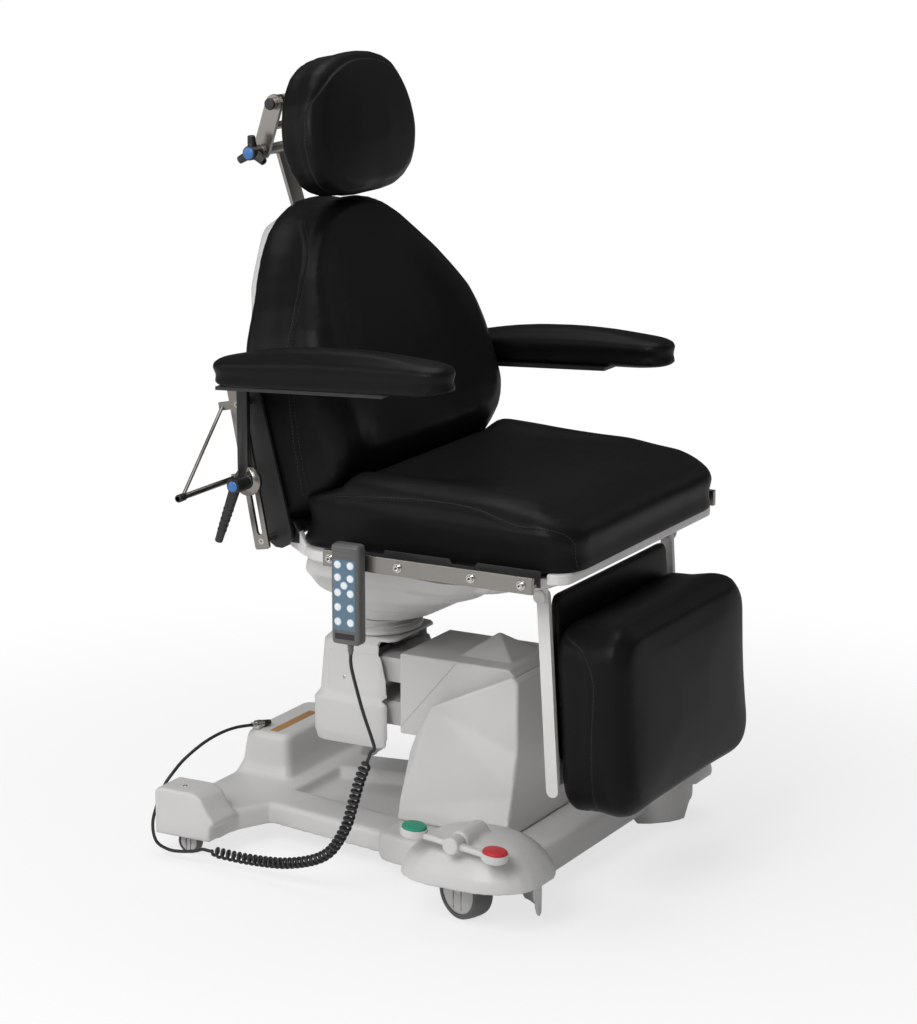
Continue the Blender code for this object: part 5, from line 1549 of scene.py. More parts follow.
    def arm_form(self, side: Side) -> Callable[[np.ndarray], np.ndarray]:
        """The shaping of an arm pad: a crowned top and rounded ends.

        Args:
            side: the armrest's side.

        Returns:
            A function that moves the pad's corners.
        """
        drop_y = self.left_drop if side is Side.LEFT else 0.0
        middle_x = side.value * (self.arm_inner + self.arm_width / 2)
        middle_y = (self.arm_front + self.arm_rear) / 2 + drop_y

        def shaped(corners: np.ndarray) -> np.ndarray:
            """Moves the pad's corners.

            Args:
                corners: the pad's corners.

            Returns:
                The corners in their new places.
            """
            u = (corners[:, 0] - middle_x) / (self.arm_width / 2)
            v = (corners[:, 1] - middle_y) / ((self.arm_rear - self.arm_front) / 2)
            floor = corners[:, 2].min()
            height = (corners[:, 2] - floor) / np.ptp(corners[:, 2])
            crown = np.clip(1 - self.arm_round * u * u, 0, 1) * np.clip(1 - v * v, 0, 1)
            out = corners.copy()
            out[:, 2] += self.arm_crown * crown * self.ease(height, *self.arm_top)
            under = self.arm_taper * (1 - self.ease(height, *self.arm_low))
            out[:, 0] = middle_x + (corners[:, 0] - middle_x) * (1 - under)
            return out

        return shaped

    def pads(self) -> list[Pad]:
        """The list of pads.

        Returns:
            The pads, not yet made.
        """
        seat_seams = (self.seat_seam, self.seat_seam.other_side())
        back_seams = (self.back_seam, self.back_seam.other_side())
        leg_seams = (self.leg_seam, self.leg_seam.other_side())
        pads = [
            Pad("seat_cushion", "seat", seat_seams, form=self.seat_form, seating=self.seat_rest),
            Pad("back_cushion", "back", back_seams, form=self.back_form),
            Pad("head_pad", "head_pad", (self.head_seam,), voxel=0.0045, form=self.head_form),
            Pad("leg_cushion", "leg_cushion", leg_seams, form=self.leg_form),
            Pad("leg_pad", "leg", voxel=0.004, cap=0.002, tautness=3, calm=20, fill=0.5),
        ]
        for side in Side:
            pads.append(
                Pad(
                    f"arm_pad_{side.word}",
                    f"armrest_{side.word}",
                    voxel=0.004,
                    cap=0.003,
                    calm=30,
                    form=self.arm_form(side),
                )
            )
        return pads

    def build(self, dresser: Dresser) -> None:
        """Makes all pads.

        Args:
            dresser: gives the pieces their finish.
        """
        for pad in self.pads():
            pad.build(dresser)


@dataclass
class Hardware:
    """Screws and bolts, each modelled once and copied."""

    washer: float = 0.0016

    def socket_bolt(self, name: str, radius: float, height: float) -> Piece:
        """A socket-head bolt on its washer, along +Z from the origin.

        Args:
            name: the bolt's name.
            radius: the head's radius.
            height: the head's height.

        Returns:
            The bolt.
        """
        profile = [
            (0.0, 0.0),
            (radius * 1.5, 0.0),
            (radius * 1.5, self.washer * 0.7),
            (radius * 1.42, self.washer),
            (radius, self.washer),
            (radius, height - 0.0008),
            (radius * 0.88, height),
            (0.0, height),
        ]
        bolt = Bench.turned(name, profile, (0, 0, 0), (0, 0, 1), 28)
        floor, roof = (0, 0, height * 0.35), (0, 0, height * 2)
        hexagon = Bench.rod("socket_cutter", floor, roof, radius * 0.52, sides=6)
        return Bench.carve(bolt, hexagon)

    def cross_screw(self, name: str, radius: float) -> Piece:
        """A small domed screw with a cross recess, along +Z from the origin.

        Args:
            name: the screw's name.
            radius: the head's radius.

        Returns:
            The screw.
        """
        profile = [
            (0.0, -0.001),
            (radius, -0.001),
            (radius, 0.0003),
            (radius * 0.8, 0.001),
            (0.0, 0.0014),
        ]
        screw = Bench.turned(name, profile, (0, 0, 0), (0, 0, 1), 20)
        arm = radius * 0.62
        thin = radius * 0.14
        first = Bench.box("recess_a", (-arm, -thin, 0.0004), (arm, thin, 0.004))
        second = Bench.box("recess_b", (-thin, -arm, 0.0004), (thin, arm, 0.004))
        return Bench.carve(screw, first, second)

    @staticmethod
    def on(point: Place, outward: Place) -> Matrix:
        """The placement of a fastener on a surface.

        Args:
            point: where it sits.
            outward: the surface's outward direction.

        Returns:
            The placement.
        """
        return Matrix.Translation(Vector(point)) @ Bench.towards(outward)

    @staticmethod
    def row(first: Piece, name: str, places: Iterable[Matrix]) -> Piece:
        """Copies of a fastener in several places, as one piece.

        Args:
            first: the fastener.
            name: the piece's name.
            places: where the copies go.

        Returns:
            The copies, without the fastener itself.
        """
        return Bench.joined(name, [Bench.copied(first, name, place) for place in places])


@dataclass
class Base:
    """The moulded base with its small fittings."""

    hump_top: float = 0.160
    foot_top: float = 0.128
    strip_start: Pair = (-0.012, 0.362)
    strip_end: Pair = (0.128, 0.380)
    foot_screw: Pair = (0.276, 0.392)

    def build(self, dresser: Dresser, hardware: Hardware) -> None:
        """Makes the cover, its amber strip, the connector and the screws.

        Args:
            dresser: gives the pieces their finish.
            hardware: makes the screws.
        """
        cover = dresser.mould("base_cover", "base_moulding", 0.0042, 6)
        dresser.dress(cover, SHELL, "base", ["base_cover"], 180.0)
        low = (self.strip_start[0], self.strip_start[1], self.hump_top - 0.001)
        high = (self.strip_end[0], self.strip_end[1], self.hump_top + 0.0008)
        strip = Bench.box("hump_strip", low, high, 0.0006)
        dresser.dress(strip, AMBER, "base")
        first = hardware.cross_screw("foot_screw", 0.0042)
        points = [side.at((*self.foot_screw, self.foot_top)) for side in Side]
        screws = Hardware.row(first, "foot_screws", [Hardware.on(p, (0, 0, 1)) for p in points])
        bpy.data.objects.remove(first)
        dresser.dress(screws, BRIGHT, "base")
        self.connector(dresser)

    def connector(self, dresser: Dresser) -> None:
        """The cord's connector on the hump with the plug behind it.

        Args:
            dresser: gives the pieces their finish.
        """
        start = Vector(HandCord.tail[-1])
        heading = (start - Vector(HandCord.tail[-2])).normalized()
        profile = [
            (0.0, 0.0003), (0.0046, 0.0003), (0.0052, 0.0020), (0.0052, 0.0080), (0.0074, 0.0086),
            (0.0074, 0.0200), (0.0066, 0.0210), (0.0066, 0.0255), (0.0, 0.0260),
        ]
        sleeve = Bench.turned("cord_connector", profile, start, heading, 36)
        middle = start + heading * 0.013
        foot = Bench.box(
            "connector_foot",
            (middle.x - 0.006, middle.y - 0.007, self.hump_top + 0.0003),
            (middle.x + 0.006, middle.y + 0.007, start.z - 0.002),
            0.001,
        )
        dresser.dress(Bench.joined("cord_connector", [sleeve, foot]), BRIGHT, "base", ["cord_socket"])
        tip = start + heading * 0.0262
        plug = Bench.rod("connector_plug", tip, tip + heading * 0.016, 0.0062, 0.0050, 24, 0.0012)
        dresser.dress(plug, BLACK, "base")


@dataclass
class Column:
    """The tower, the arm cover and the carrier."""

    cover_half: float = 0.0905
    groove_start: Pair = (-0.064, 0.378)
    groove_end: Pair = (0.060, 0.232)
    screw: Triple = (0.0914, 0.170, 0.3144)
    panel: Triple = (0.0918, 0.150, 0.328)
    panel_lean: float = math.atan2(0.006, 0.094)

    def build(self, dresser: Dresser, hardware: Hardware) -> None:
        """Makes the three moulded covers and the carrier's screws.

        Args:
            dresser: gives the pieces their finish.
            hardware: makes the screws.
        """
        tower = dresser.mould("tower_cover", "tower_moulding", 0.0036, 5)
        dresser.dress(tower, SHELL, "base", ["tower_cover"], 180.0)
        cover = dresser.mould("arm_cover", "arm_moulding", 0.0024, 2)
        Bench.carve(cover, *[self.groove(side) for side in Side])
        dresser.dress(cover, SHELL, "upper_arm", ["arm_cover"], 40.0)
        carrier = dresser.mould("carrier_cover", "carrier_moulding", 0.0027, 3)
        Bench.carve(carrier, *[self.recess(side) for side in Side])
        dresser.dress(carrier, SHELL, "carrier", ["carrier_cover"], 40.0)
        first = hardware.cross_screw("cover_screw", 0.0036)
        places = [Hardware.on(side.at(self.screw), (side.value, 0, 0.06)) for side in Side]
        screws = Hardware.row(first, "carrier_screws", places)
        bpy.data.objects.remove(first)
        dresser.dress(screws, BRIGHT, "carrier")

    def groove(self, side: Side) -> Piece:
        """The tool for the diagonal parting line on the arm cover.

        Args:
            side: the cover's side.

        Returns:
            The tool.
        """
        start = Vector((0.0, *self.groove_start))
        end = Vector((0.0, *self.groove_end))
        middle = (start + end) / 2
        angle = math.atan2(end.z - start.z, end.y - start.y)
        half = (end - start).length / 2
        place = Matrix.Translation((side.value * self.cover_half, middle.y, middle.z))
        return Bench.box(
            "parting_tool",
            (-0.0012, -half, -0.0009),
            (0.0012, half, 0.0009),
            place=place @ Matrix.Rotation(angle, 4, "X"),
        )

    def recess(self, side: Side) -> Piece:
        """The tool for the shallow panel on the carrier's side.

        Args:
            side: the carrier's side.

        Returns:
            The tool.
        """
        turn = Matrix.Rotation(-side.value * self.panel_lean, 4, "Y")
        place = Matrix.Translation(side.at(self.panel)) @ turn
        low, high = (-0.0012, -0.052, -0.036), (0.0012, 0.052, 0.036)
        return Bench.box("panel_tool", low, high, 0.001, place)


@dataclass
class Wheel:
    """A two-tone caster wheel."""

    node: str
    body: str
    radius: float
    width: float
    centre: Triple
    axis: Triple
    bore: float = 0.0064

    def build(self, dresser: Dresser) -> None:
        """Makes the tyre, the discs and the dark lines that paint the shade of their grooves.

        Args:
            dresser: gives the pieces their finish.
        """
        half = self.width / 2
        rim = self.radius * 0.80
        tyre_profile = [
            (rim, -half + 0.001),
            (rim + 0.001, -half),
            (self.radius * 0.92, -half + 0.0006),
            (self.radius * 0.97, -half + 0.003),
            (self.radius * 0.99, -half * 0.55),
            (self.radius, 0.0),
            (self.radius * 0.99, half * 0.55),
            (self.radius * 0.97, half - 0.003),
            (self.radius * 0.92, half - 0.0006),
            (rim + 0.001, half),
            (rim, half - 0.001),
        ]
        tyre = Bench.turned(self.node + "_tyre", tyre_profile, self.centre, self.axis, 56)
        dresser.dress(tyre, TYRE, self.body, [self.node])
        face = half - 0.0015
        disc_profile = [
            (self.bore, -face),
            (rim * 0.55, -face - 0.0010),
            (rim * 0.92, -face),
            (rim - 0.0003, -face + 0.0015),
            (rim - 0.0003, face - 0.0015),
            (rim * 0.92, face),
            (rim * 0.55, face + 0.0010),
            (self.bore, face),
        ]
        disc = Bench.turned(self.node + "_disc", disc_profile, self.centre, self.axis, 56)
        dresser.dress(disc, DISC, self.body)
        lines = [self.arch(direction, face) for direction in (-1, 1)]
        # the dark lines are painted shade standing in for the grooves' shade
        dresser.dress(Bench.joined(self.node + "_groove", lines), GROOVE_SHADE, self.body)

    def arch(self, direction: int, face: float) -> Piece:
        """The arched dark line on one face of the wheel, painted shade of a groove.

        Args:
            direction: which face.
            face: the face's distance from the wheel's middle.

        Returns:
            The line.
        """
        axis = Vector(self.axis)
        upward = Vector((0, 0, 1))
        across = upward.cross(axis).normalized()
        reach = self.radius * 0.20
        centre = Vector(self.centre) + axis * (direction * (face + 0.0006))
        points = [centre + across * reach - upward * self.radius * 0.62]
        for step in range(9):
            t = math.pi * step / 8
            rise = self.radius * (0.36 + 0.20 * math.sin(t))
            points.append(centre + across * (reach * math.cos(t)) + upward * rise)
        points.append(centre - across * reach - upward * self.radius * 0.62)
        return Bench.swept("wheel_arch", points, 0.0008, 6)


@dataclass
class Casters:
    """The four casters."""

    front: Pair = (0.318, -0.222)
    rear: Pair = (0.266, 0.378)
    turn: float = math.radians(-20.0)
    front_trail: float = 0.025
    rear_trail: float = 0.011
    # Radius and width of the wheels
    front_size: Pair = (0.050, 0.042)
    rear_size: Pair = (0.0225, 0.018)

    def build(self, dresser: Dresser) -> None:
        """Makes the wheels and paints the forks.

        Args:
            dresser: gives the pieces their finish.
        """
        heading = Matrix.Rotation(self.turn, 3, "Z")
        axis = heading @ Vector((1, 0, 0))
        offset = heading @ Vector((0, self.front_trail, 0))
        for side in Side:
            name = f"front_{side.word}"
            x, y = side.value * self.front[0] + offset.x, self.front[1] + offset.y
            centre = (x, y, self.front_size[0])
            front = Wheel(
                f"caster_wheel_{name}", f"wheel_{name}", *self.front_size, centre, tuple(axis)
            )
            front.build(dresser)
            name = f"rear_{side.word}"
            centre = (side.value * self.rear[0], self.rear[1] + self.rear_trail, self.rear_size[0])
            rear = Wheel(f"caster_wheel_{name}", f"wheel_{name}", *self.rear_size, centre, (1, 0, 0))
            rear.build(dresser)
            dresser.paint(WHITE, f"caster_fork_front_{side.word}", f"caster_fork_rear_{side.word}")


@dataclass
class Pedal:
    """The brake pedal with its green and red pads."""

    hub: Triple = (-0.405, -0.228, 0.165)
    rise: float = math.radians(7.0)
    reach: float = 0.077
    cup: float = 0.0235
    hub_radius: float = 0.0148
    hub_ends: Pair = (0.0148, -0.015)

    def build(self, dresser: Dresser) -> None:
        """Makes the bar with its cups and the two pads.

        Args:
            dresser: gives the pieces their finish.
        """
        turn = Matrix.Rotation(self.rise, 4, "X")
        place = Matrix.Translation(self.hub) @ turn
        upward = turn.to_3x3() @ Vector((0, 0, 1))
        inner, outer = ((self.hub[0] + end, *self.hub[1:]) for end in self.hub_ends)
        hub = Bench.rod("pedal_hub", inner, outer, self.hub_radius)
        Bench.soften(hub, 0.0035, 4)
        low, high = (-0.0075, -self.reach, -0.0055), (0.0075, self.reach, 0.0045)
        bar = Bench.box("pedal_bar", low, high, 0.0035, place)
        parts = [hub, bar]
        for name, sign, finish in (("brake_pad_red", -1, RED), ("brake_pad_green", 1, GREEN)):
            foot = place @ Vector((0, sign * self.reach, 0))
            cup = [
                (0.0, -0.0080),
                (self.cup * 0.72, -0.0080),
                (self.cup * 0.94, -0.0050),
                (self.cup, 0.0),
                (self.cup, 0.0072),
                (self.cup - 0.0008, 0.0080),
                (self.cup - 0.0022, 0.0080),
                (self.cup - 0.0024, 0.0060),
                (0.0, 0.0060),
            ]
            parts.append(Bench.turned("pedal_cup", cup, foot, upward, 48))
            disc = [
                (0.0, 0.0063),
                (self.cup - 0.0029, 0.0063),
                (self.cup - 0.0029, 0.0108),
                (self.cup - 0.0042, 0.0122),
                (self.cup - 0.0060, 0.0126),
                (0.0, 0.0129),
            ]
            pad = Bench.turned(name + "_disc", disc, foot, upward, 48)
            dresser.dress(pad, finish, "brake", [name])
        piece = Bench.weld(*parts)
        piece.name = "pedal_rocker"
        dresser.dress(piece, SHELL, "brake", ["brake_pedal"])


@dataclass
class Seat:
    """The seat's shells, its rails and their bolts."""

    rail_outer: float = 0.358
    rail_z: float = 0.610
    bolts: tuple[float, ...] = (0.036, -0.095, -0.233, -0.326)
    pivot: Pair = (-0.306, 0.563)
    bowl_middle: float = -0.030
    bowl_foot: float = 0.425
    bowl_head: float = 0.5477
    # Size of each step, and the share of the height over which it comes
    bowl_steps: tuple[Triple, ...] = (
        (0.30, 0.20, 0.30), (0.35, 0.46, 0.56), (0.35, 0.74, 0.84),
    )
    bowl_lift: float = 0.038
    bowl_broad: float = 0.36
    bowl_front: float = 0.20
    bowl_rear: float = 0.05
    plan_middle: Pair = (0.0, 0.0025)
    plan_half: Pair = (0.302, 0.2245)
    plan_power: int = 6
    boot_y: float = 0.142
    boot_ends: Pair = (0.394, 0.4245)
    boot_squash: float = 0.82
    ear_floor: float = 0.6070
    ear_front: float = 0.1560

    def build(self, dresser: Dresser, hardware: Hardware) -> None:
        """Makes the pan, the bowl, the small covers and the fasteners.

        Args:
            dresser: gives the pieces their finish.
            hardware: makes the bolts.
        """
        pan = dresser.mould("seat_pan", "seat_pan_moulding", 0.003, 2)
        dresser.dress(pan, WHITE, "seat", ["seat_pan"], 60.0)
        pan.data.materials.append(BLACK.material())
        for face in pan.data.polygons:
            if face.center.z > self.ear_floor and face.center.y > self.ear_front:
                face.material_index = 1
        funnel = dresser.mould("seat_funnel", "seat_funnel_moulding", 0.0022, 2)
        Pad.write(funnel.data, self.bowl(Pad.read(funnel.data, "co")))
        Bench.smooth(funnel, 4)
        Bench.modify(funnel, "DECIMATE", ratio=0.6)
        dresser.dress(funnel, SHELL, "seat", ["seat_funnel"], 180.0)
        self.boot(dresser)
        self.lip(dresser)
        first = hardware.socket_bolt("rail_bolt", 0.0055, 0.0062)
        for side in Side:
            x, outward = side.value * self.rail_outer, (side.value, 0, 0)
            places = [Hardware.on((x, y, self.rail_z), outward) for y in self.bolts]
            dresser.dress(Hardware.row(first, f"rail_bolts_{side.word}", places), BRIGHT, "seat")
            self.edge_strip(dresser, side)
            self.pivot_bolt(dresser, side)
        bpy.data.objects.remove(first)

    def bowl(self, corners: np.ndarray) -> np.ndarray:
        """Widens the funnel to a stepped bowl, squarer towards the pan.

        Args:
            corners: the funnel's corners.

        Returns:
            The corners in their new places.
        """
        share = (corners[:, 2] - self.bowl_foot) / (self.bowl_head - self.bowl_foot)
        steps = sum(size * Upholstery.ease(share, low, high) for size, low, high in self.bowl_steps)
        out = corners.copy()
        out[:, 2] += self.bowl_lift * Upholstery.ease(share, 0.60, 1.0)
        out[:, 0] *= 1 + self.bowl_broad * steps
        ahead = corners[:, 1] < self.bowl_middle
        growth = np.where(ahead, self.bowl_front, self.bowl_rear) * steps * share
        out[:, 1] = self.bowl_middle + (corners[:, 1] - self.bowl_middle) * (1 + growth)
        middle = np.array(self.plan_middle)
        plan = (out[:, :2] - middle) / np.array(self.plan_half)
        reach = np.maximum(np.linalg.norm(plan, axis=1), 1e-9)
        powers = (plan / reach[:, None]) ** self.plan_power
        square = powers.sum(axis=1) ** (-1 / self.plan_power)
        factor = 1 + (square - 1) * Upholstery.ease(share, 0.50, 0.78)
        out[:, :2] = middle + (out[:, :2] - middle) * factor[:, None]
        return out

    def boot(self, dresser: Dresser) -> None:
        """The soft boot between the carrier and the bowl.

        Args:
            dresser: gives the pieces their finish.
        """
        profile = [
            (0.074, 0.3940), (0.082, 0.3945), (0.083, 0.4000), (0.076, 0.4050), (0.083, 0.4100),
            (0.076, 0.4150), (0.081, 0.4200), (0.079, 0.4245), (0.073, 0.4240), (0.071, 0.4150),
            (0.071, 0.4050),
        ]
        boot = Bench.turned("tilt_boot", profile, (0, 0, 0), (0, 0, 1), 56)
        squash = Matrix.Diagonal((1.0, self.boot_squash, 1.0, 1.0))
        boot.data.transform(Matrix.Translation((0.0, self.boot_y, 0.0)) @ squash)
        dresser.dress(boot, SHELL, None, (), 60.0)
        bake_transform(boot)

    def lip(self, dresser: Dresser) -> None:
        """The pan's white front lip under the cushion.

        Args:
            dresser: gives the pieces their finish.
        """
        front, rear, half, corner = -0.374, -0.3404, 0.296, 0.030
        outline = [(-half, rear)]
        for step in range(7):
            t = math.radians(180 + 15 * step)
            x = -half + corner + corner * math.cos(t)
            outline.append((x, front + corner + corner * math.sin(t)))
        outline += [(-x, y) for x, y in reversed(outline)]
        low, high = 0.5975, 0.6163
        lip = Bench.pushed("seat_pan_lip", outline, low, high, Axis.Z, 0.003)
        dresser.dress(lip, WHITE, "seat")

    def edge_strip(self, dresser: Dresser, side: Side) -> None:
        """The black strip between rail and cushion, with two notches.

        Args:
            dresser: gives the pieces their finish.
            side: the seat's side.
        """
        low, high, notch = 0.596, 0.6245, 0.008
        inner, outer = side.value * 0.3105, side.value * 0.3125
        outline = [
            (-0.338, low),
            (0.048, low),
            (0.048, high),
            (0.008, high),
            (0.004, high - notch),
            (-0.040, high - notch),
            (-0.044, high),
            (-0.168, high),
            (-0.172, high - notch),
            (-0.216, high - notch),
            (-0.220, high),
            (-0.338, high),
        ]
        name = f"edge_strip_{side.word}"
        strip = Bench.pushed(name, outline, inner, outer, Axis.X, 0.0006)
        dresser.dress(strip, BLACK, "seat")

    def pivot_bolt(self, dresser: Dresser, side: Side) -> None:
        """The round white bolt head on the leg section's pivot.

        Args:
            dresser: gives the pieces their finish.
            side: the pivot's side.
        """
        profile = [
            (0.0, -0.001), (0.0115, -0.001), (0.0115, 0.0035), (0.0100, 0.0050), (0.0, 0.0056),
        ]
        x = side.value * (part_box("leg_frame")[1][0] + 0.0078)
        name = f"leg_pivot_bolt_{side.word}"
        bolt = Bench.turned(name, profile, (x, *self.pivot), (side.value, 0, 0), 36)
        dresser.dress(bolt, WHITE, "seat")


@dataclass
class Handset:
    """The hand control that hangs on the right rail."""

    near: float = -0.3583
    thick: float = 0.028
    y: float = -0.009
    width: float = 0.054
    bottom: float = 0.472
    top: float = 0.645
    rows: tuple[float, ...] = (0.6105, 0.5885, 0.5625, 0.5375, 0.5125)
    column: float = 0.0122
    rail_top: float = 0.6246
    rail_inner: float = -0.3482
    hook_half: float = 0.018
    hook_thick: float = 0.004
    hook_low: float = 0.606
    cord_exit: Triple = (-0.372, -0.012, 0.4540)

    def build(self, dresser: Dresser) -> None:
        """Makes the case, its hook, the panel and the keys.

        Args:
            dresser: gives the pieces their finish.
        """
        half = self.width / 2
        far = self.near - self.thick
        low, high = (far, self.y - half, self.bottom), (self.near, self.y + half, self.top)
        case = Bench.box("handset_case", low, high, 0.007)
        hook_end = self.rail_inner + self.hook_thick
        over = Bench.box(
            "handset_hook",
            (self.near - 0.008, self.y - self.hook_half, self.rail_top),
            (hook_end, self.y + self.hook_half, self.rail_top + self.hook_thick),
        )
        behind = Bench.box(
            "handset_hook_end",
            (self.rail_inner, self.y - self.hook_half, self.hook_low),
            (hook_end, self.y + self.hook_half, self.rail_top + 0.003),
        )
        relief_profile = [
            (0.0, 0.0), (0.0040, 0.0), (0.0040, 0.004), (0.0050, 0.005), (0.0050, 0.009),
            (0.0045, 0.010), (0.0055, 0.012), (0.0055, 0.021), (0.0, 0.021),
        ]
        relief = Bench.turned("handset_relief", relief_profile, self.cord_exit, (0, 0, 1), 24)
        piece = Bench.weld(case, over, behind, relief)
        ribs = []
        for index in range(5):
            z = self.top - 0.006 - 0.0042 * index
            ribs.append(
                Bench.box(
                    "handset_rib",
                    (far - 0.0006, self.y - half + 0.005, z - 0.0011),
                    (far + 0.004, self.y + half - 0.005, z + 0.0011),
                    0.0005,
                )
            )
        piece = Bench.joined("handset_case", [piece, *ribs])
        dresser.dress(piece, HANDSET_GREY, "handset", ["handset_body"])
        self.face(dresser, far, half)

    def face(self, dresser: Dresser, far: float, half: float) -> None:
        """The key panel, the keys and the dark strip.

        Args:
            dresser: gives the pieces their finish.
            far: the case's outer face.
            half: half the case's width.
        """
        low = (far - 0.0006, self.y - half + 0.006, self.bottom + 0.026)
        high = (far + 0.001, self.y + half - 0.006, self.top - 0.026)
        panel = Bench.box("handset_panel", low, high, 0.0005)
        dresser.dress(panel, PANEL, "handset", ["handset_keypad"])
        spots = [(self.y + sign * self.column, z) for z in self.rows for sign in (-1, 1)]
        spots.append((self.y, (self.rows[1] + self.rows[2]) / 2))
        rim = [(0.0, -0.0004), (0.0072, -0.0004), (0.0072, 0.0004), (0.0067, 0.0007), (0.0, 0.0007)]
        cap = [(0.0, 0.0004), (0.0060, 0.0004), (0.0060, 0.0010), (0.0052, 0.0013), (0.0, 0.0014)]
        first_rim = Bench.turned("key_rim", rim, (0, 0, 0), (-1, 0, 0), 24)
        first_cap = Bench.turned("key_cap", cap, (0, 0, 0), (-1, 0, 0), 24)
        places = [Matrix.Translation((far - 0.0006, y, z)) for y, z in spots]
        rims = [Bench.copied(first_rim, "key_rim_copy", place) for place in places]
        caps = [Bench.copied(first_cap, "key_cap_copy", place) for place in places]
        bpy.data.objects.remove(first_rim)
        bpy.data.objects.remove(first_cap)
        dresser.dress(Bench.joined("handset_key_rims", rims), KEY_RIM, "handset")
        dresser.dress(Bench.joined("handset_keys", caps), KEY_WHITE, "handset")
        strip = Bench.box(
            "handset_strip",
            (far - 0.0006, self.y - half + 0.008, self.bottom + 0.010),
            (far + 0.001, self.y + half - 0.008, self.bottom + 0.020),
            0.0004,
        )
        dresser.dress(strip, BLACK, "handset")


@dataclass
class Armrest:
    """One armrest's small metal and plastic pieces."""

    side: Side
    hub: Triple
    bar_foot: Pair = (0.176, 0.621)
    bar_head: Pair = (0.221, 0.853)
    bolt_seat: float = 0.3453
    down: Pair = (-0.190418, -0.981703)
    brace_tip: Triple = (0.524, 0.2272, 0.7251)
    lever_root: float = 0.033
    lever_length: float = 0.092
    lever_shift: Triple = (0.039, 0.0510, -0.0099)
    lever_radii: Pair = (0.0098, 0.0068)
    lever_taper: float = 0.0030
    button_out: float = 0.0434
    disc_reach: float = 0.029

    def build(self, dresser: Dresser, hardware: Hardware) -> None:
        """Makes the lever, its button, the bolts and the brace's tip.

        Args:
            dresser: gives the pieces their finish.
            hardware: makes the bolts.
        """
        sign = self.side.value
        word = self.side.word
        x = sign * (abs(self.hub[0]) + 0.0003)
        y, z = self.hub[1:]
        socket_profile = [
            (0.0, 0.0), (0.0130, 0.0), (0.0130, 0.0040), (0.0118, 0.0048), (0.0118, 0.0080),
            (0.0130, 0.0088), (0.0130, 0.0400), (0.0118, 0.0432), (0.0, 0.0436),
        ]
        socket = Bench.turned("lever_socket", socket_profile, (x, y, z), (sign, 0, 0), 36)
        root = Vector((x + sign * self.lever_root, y, z))
        tip_y = y + self.down[0] * self.lever_length + self.lever_shift[1]
        tip_z = z + self.down[1] * self.lever_length + self.lever_shift[2]
        tip = Vector((x + sign * self.lever_shift[0], tip_y, tip_z))
        handle = Bench.rod("lever_handle", root, tip, *self.lever_radii, 28, 0.0025)
        along = tip - root
        ribs = []
        for index in range(5):
            share = 0.42 + 0.09 * index
            middle = root + along * share
            radius = self.lever_radii[0] - self.lever_taper * share + 0.0007
            half = along.normalized() * 0.0016
            rib = Bench.rod(
                "lever_rib", middle - half, middle + half, radius, sides=24, round_edge=0.0006
            )
            ribs.append(rib)
        self.post(dresser)
        lever = Bench.joined(f"lever_grip_{word}", [socket, handle, *ribs])
        dresser.dress(lever, BLACK, f"lever_{word}", [f"clamp_lever_{word}"])
        button_profile = [
            (0.0, 0.0), (0.0090, 0.0), (0.0090, 0.0012), (0.0078, 0.0022), (0.0, 0.0026),
        ]
        outward = (sign, 0, 0)
        foot = (x + sign * self.button_out, y, z)
        button = Bench.turned(f"lever_button_{word}", button_profile, foot, outward, 32)
        dresser.dress(button, CAP_BLUE, f"lever_{word}")
        first = hardware.socket_bolt("bar_bolt", 0.0058, 0.0058)
        spots = [(sign * self.bolt_seat, *spot) for spot in (self.bar_foot, self.bar_head)]
        bolts = Hardware.row(first, f"bar_bolts_{word}", [Hardware.on(p, outward) for p in spots])
        bpy.data.objects.remove(first)
        dresser.dress(bolts, BRIGHT, "back")
        end = self.side.at(self.brace_tip)
        inward = Vector((-sign, 0, 0))
        cap = Bench.rod(f"brace_cap_{word}", end, end + inward * 0.020, 0.0066, 0.0066, 24, 0.0020)
        dresser.dress(cap, BLACK, "back")

    def post(self, dresser: Dresser) -> None:
        """The post and plate under the pad, black but for the steel hub disc.

        Args:
            dresser: gives the pieces their finish.
        """
        node = f"arm_post_{self.side.word}"
        piece = dresser.taken(node, node + "_plate")
        hub = Vector((0.0, self.hub[1], self.hub[2]))
        outside = []
        for face in piece.data.polygons:
            centre = Vector((0.0, face.center.y, face.center.z))
            outside.append((centre - hub).length > self.disc_reach)
        dresser.dress(piece, STEEL, f"armrest_{self.side.word}", [node])
        piece.data.materials.append(BLACK.material())
        for face, plain_black in zip(piece.data.polygons, outside):
            face.material_index = 1 if plain_black else 0


@dataclass
class Headrest:
    """The headrest's caps and knob."""

    upper: Pair = (0.317, 1.327)
    lower: Pair = (0.344164, 1.242783)
    tube_half: float = 0.080
    knob_end: float = -0.1103

    def build(self, dresser: Dresser) -> None:
        """Makes the tube caps and the knob's cap.

        Args:
            dresser: gives the pieces their finish.
        """
        profile = [(0.0, 0.0), (0.0104, 0.0), (0.0104, 0.0030), (0.0090, 0.0044), (0.0, 0.0048)]
        caps = []
        for side in Side:
            x = side.value * self.tube_half
            caps.append(Bench.turned("tube_cap", profile, (x, *self.upper), (side.value, 0, 0), 32))
        dresser.dress(Bench.joined("upper_tube_caps", caps), BLACK, "head_pad")
        lone = Bench.turned("lower_tube_cap", profile, (self.tube_half, *self.lower), (1, 0, 0), 32)
        dresser.dress(lone, BLACK, "head_bar")
        knob = dresser.mould("head_knob", "knob_moulding", 0.0013, 4)
        dresser.dress(knob, BLACK, "head_knob", ["head_knob"], 180.0)
        cap_profile = [
            (0.0, -0.002), (0.0105, -0.002), (0.0105, 0.0010), (0.0090, 0.0022), (0.0, 0.0027),
        ]
        cap = Bench.turned("knob_cap", cap_profile, (self.knob_end, *self.lower), (-1, 0, 0), 32)
        dresser.dress(cap, CAP_BLUE, "head_knob")


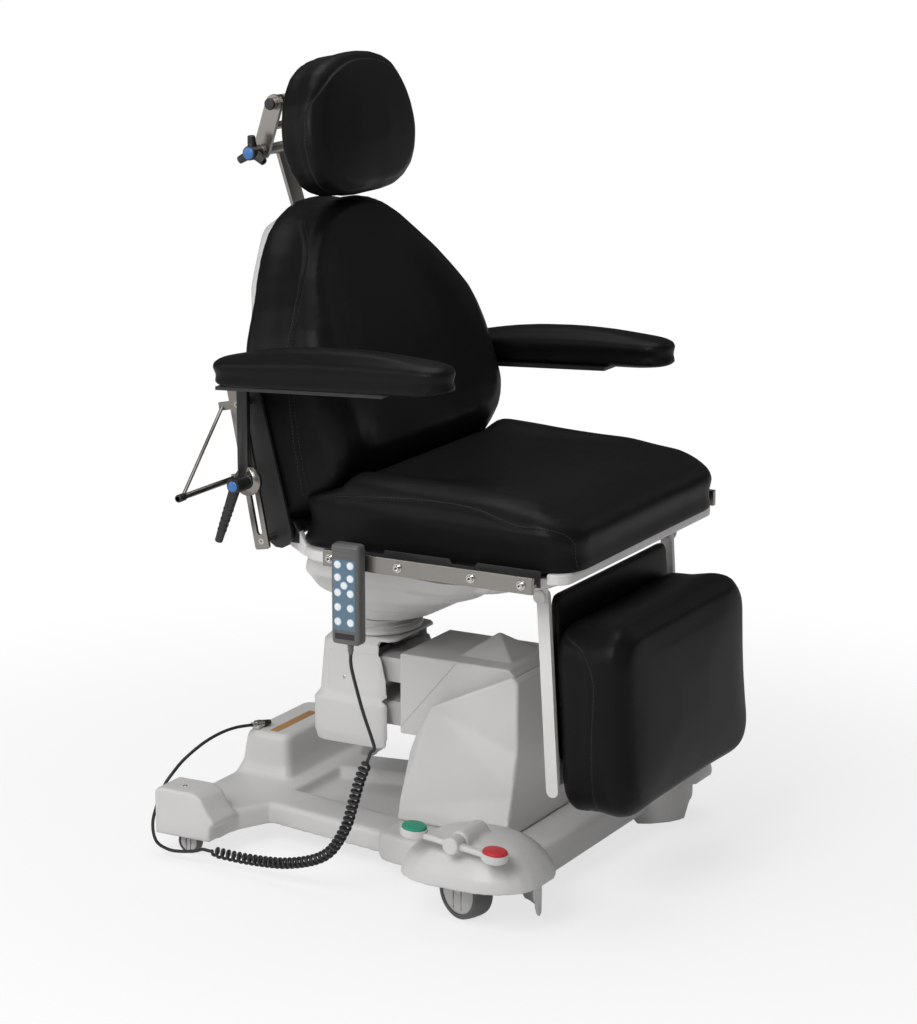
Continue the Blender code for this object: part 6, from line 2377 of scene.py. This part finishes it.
@dataclass
class Back:
    """The rear shell of the back."""

    depth: float = 0.016
    rear: Pair = (0.122, 0.160)

    def build(self, dresser: Dresser) -> None:
        """Makes the shell.

        Args:
            dresser: gives the pieces their finish.
        """
        shell = dresser.mould("back_shell", "back_moulding", 0.0034, 6)
        corners = Pad.read(shell.data, "co")
        foot_y, foot_z = Upholstery.back_foot
        sine, cosine = math.sin(Upholstery.back_angle), math.cos(Upholstery.back_angle)
        behind = (corners[:, 1] - foot_y) * cosine - (corners[:, 2] - foot_z) * sine
        push = self.depth * Upholstery.ease(behind, *self.rear)
        Pad.write(shell.data, corners + push[:, None] * np.array((0.0, cosine, -sine)))
        dresser.dress(shell, SHELL, "back", ["back_shell"], 180.0)


@dataclass
class Chair:
    """The whole chair."""

    frame: dict[str, Any]
    right_hub: Triple = (-0.3616, 0.196185, 0.725061)
    left_hub: Triple = (0.3616, 0.179428, 0.638671)

    def paint_nodes(self, dresser: Dresser) -> None:
        """Gives the CAD nodes that stay their finishes.

        Args:
            dresser: gives the nodes their finish.
        """
        dresser.paint(DARK_STEEL, "chassis", "mast", "carrier_frame", "seat_frame")
        dresser.paint(SHELL, "upper_arm", "lower_arm")
        dresser.paint(BLACK, "control_box", "mains_inlet")
        dresser.paint(STEEL, "rail_right", "rail_left", "head_bar", "head_link", "head_bracket")
        dresser.paint(BLACK, "back_frame")
        for side in Side:
            dresser.paint(STEEL, f"arm_bar_{side.word}", f"arm_brace_{side.word}")
        dresser.paint(WHITE, "leg_frame")

    def build(self) -> None:
        """Builds all sub-assemblies in order."""
        dresser = Dresser(self.frame)
        hardware = Hardware()
        HandCord().build(dresser)
        self.paint_nodes(dresser)
        Base().build(dresser, hardware)
        Column().build(dresser, hardware)
        Casters().build(dresser)
        Pedal().build(dresser)
        Seat().build(dresser, hardware)
        Handset().build(dresser)
        Armrest(Side.RIGHT, self.right_hub).build(dresser, hardware)
        Armrest(Side.LEFT, self.left_hub).build(dresser, hardware)
        Headrest().build(dresser)
        Back().build(dresser)
        Upholstery().build(dresser)


def main() -> None:
    """Builds the scene."""
    logging.basicConfig(level=logging.INFO, format="%(relativeCreated)7d ms  %(message)s")
    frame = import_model()
    Studio().build()
    Chair(frame).build()


if __name__ == "__main__":
    main()
